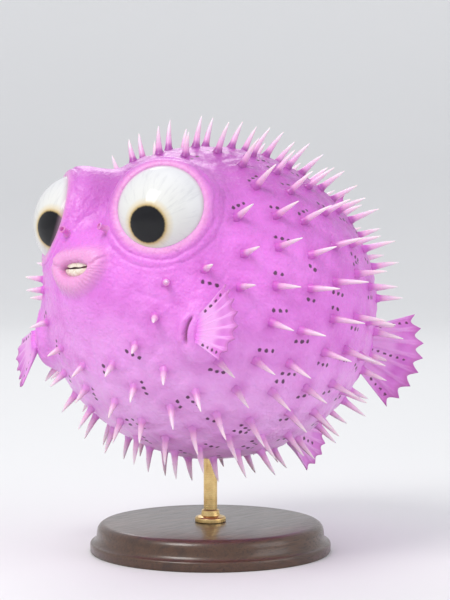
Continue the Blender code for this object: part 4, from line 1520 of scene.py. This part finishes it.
def base_outline():
    """The base: flat top, rounded shoulder, hollow step, rounded foot and flat underside."""
    radius, top = base_high[0], base_high[2]
    shoulder = 0.0045
    foot = top * 0.35
    outline = [(0.0, top), (radius - 0.03, top)]
    outline += quarter(radius - 0.0035 - shoulder, top - shoulder, shoulder, 90)
    outline += [(radius - 0.0032, foot + 0.0022), (radius - 0.0022, foot + 0.0006)]
    outline += quarter(radius - 0.0012, foot - 0.0012, 0.0012, 90)
    outline += [(radius, 0.0008), (radius - 0.0006, 0.0), (0.0, 0.0)]
    return outline


# %% Walnut and brass


def walnut_material():
    """Dark satin walnut: long grain along X, fine pores, and a thin lacquer."""
    made, tree, shader = principled("dark walnut", Roughness=0.35, Coat_Weight=0.45, Coat_Roughness=0.18)
    wander = noise(tree, object_place(tree, (1.0, 9.0, 9.0)), 9.0, 5.0, Distortion=1.2)
    pores = noise(tree, object_place(tree, (1.0, 28.0, 28.0)), 60.0, 3.0, Roughness=0.7)
    wood = ramp(tree, wander, (
        (0.25, (0.030, 0.013, 0.007)), (0.48, (0.085, 0.038, 0.018)), (0.58, (0.060, 0.026, 0.012)),
        (0.75, (0.130, 0.062, 0.030)),
    ))
    wood = blend_colours(tree, fade(tree, pores, 0.52, 0.66, 0.0, 0.7), wood, (0.018, 0.008, 0.005))
    paint(tree, shader, wood, fade(tree, pores, 0.4, 0.7, 0.30, 0.46))
    bumped(tree, shader, pores, 0.0002, 0.25)
    return made


def brass_material():
    """Brushed brass: fine turning lines and a slightly uneven, warm tarnish."""
    made, tree, shader = principled("brushed brass", Metallic=1.0, Roughness=0.3)
    lines = noise(tree, object_place(tree, (20.0, 20.0, 2600.0)), 1.0, 2.0)
    tarnish = noise(tree, object_place(tree), 160.0, 4.0)
    colour = ramp(tree, tarnish, ((0.3, (0.62, 0.40, 0.15)), (0.65, (0.84, 0.62, 0.28))))
    paint(tree, shader, colour, fade(tree, lines, 0.3, 0.7, 0.22, 0.4))
    bumped(tree, shader, lines, 0.00008, 0.3)
    return made


# %% Make the stand
DARK_WALNUT = walnut_material()
BRUSHED_BRASS = brass_material()


def collar_outline():
    """The collar: a rounded foot, a waist and a small lip round the rod."""
    radius, low, high = collar_high[0], collar_low[2], collar_high[2]
    outline = [(0.0, high), (radius * 0.52, high), (radius * 0.56, high - 0.0003)]
    outline += [(radius * 0.57, high - 0.0011), (radius * 0.62, low + 0.0031)]
    outline += quarter(radius - 0.0013, low + 0.0013, 0.0013, 90)
    return outline + [(radius, low), (0.0, low)]


def rod_outline():
    """The rod: a plain cylinder."""
    radius = rod_high[0]
    return [(0.0, rod_high[2]), (radius, rod_high[2]), (radius, rod_low[2]), (0.0, rod_low[2])]


for node, outline, steps, finish, slot in (
    ("stand_base", base_outline(), 160, DARK_WALNUT, "wood"),
    ("stand_collar", collar_outline(), 64, BRUSHED_BRASS, "brass"),
    ("stand_rod", rod_outline(), 48, BRUSHED_BRASS, "brass"),
):
    finish_mesh(node + "_turned", turned_piece(outline, steps), finish, (node,), 40)
print("stand", round(base_high[0] * 2, 3), "m across")

# %% [markdown]
# ## Floor and light
#
# The fish stands in a wide, pale bowl that is flat in the middle and rises all round, so that no horizon
# line shows from any side. Its wall is painted a little paler than its floor, as painted light that makes
# up for the weaker light reaching the wall. Large soft lights stand to the fish's front, left and overhead,
# and a smaller one behind it draws the edge of the spines.

# %% The studio bowl
FLOOR_RADIUS = 1.5
WALL_CURVE = 0.8
# Painted light: the floor is darker and the wall paler, to even out how the lamps light them.
FLOOR_GREY = (0.75, 0.75, 0.75)
WALL_GREY = (0.88, 0.88, 0.88)


def studio_bowl():
    """A pale floor that curves up to a wall all round."""
    outline = [(0.0, 0.0), (FLOOR_RADIUS, 0.0)]
    for turn in np.radians(range(10, 91, 10)):
        outline.append((FLOOR_RADIUS + WALL_CURVE * math.sin(turn), WALL_CURVE * (1 - math.cos(turn))))
    bm = turned_piece(outline, 96)
    mesh = bpy.data.meshes.new("floor")
    bm.to_mesh(mesh)
    bm.free()
    mesh.shade_smooth()
    made, tree, shader = principled("pale floor", Roughness=0.7)
    height = add_node(tree, "ShaderNodeSeparateXYZ", Vector=object_place(tree)).outputs["Z"]
    # Painted light: the bowl is coloured paler with height, to make up for the light that falls off towards
    # the wall.
    paint(tree, shader, blend_colours(tree, fade(tree, height, 0.0, 0.9), FLOOR_GREY, WALL_GREY))
    mesh.materials.append(made)
    put_in_scene("floor", mesh)


studio_bowl()

# %% Lights


def soft_light(name, azimuth, elevation, distance, size, power, colour=(1.0, 1.0, 1.0)):
    """A square area light aimed at the fish, placed by the side and height it shines from."""
    lamp = bpy.data.lights.new(name, "AREA")
    lamp.size = size
    lamp.energy = power
    lamp.color = colour
    put_in_scene(name, lamp, towards(azimuth, elevation), BALL_CENTRE, distance).visible_camera = False


soft_light("key", -85, 50, 1.7, 0.7, 15.4, (1.0, 0.985, 0.96))
soft_light("fill", 20, 22, 1.7, 1.1, 5.4, (0.97, 0.98, 1.0))
soft_light("overhead", 0, 88, 1.8, 1.2, 2.2)
soft_light("behind", 140, 35, 1.6, 0.6, 4.0)

world = bpy.data.worlds.new("studio")
world.use_nodes = True
background = world.node_tree.nodes["Background"]
background.inputs["Color"].default_value = (0.93, 0.95, 1.0, 1.0)
background.inputs["Strength"].default_value = 0.74
bpy.context.scene.world = world
bpy.context.scene.view_settings.view_transform = "Standard"
print("lights set")
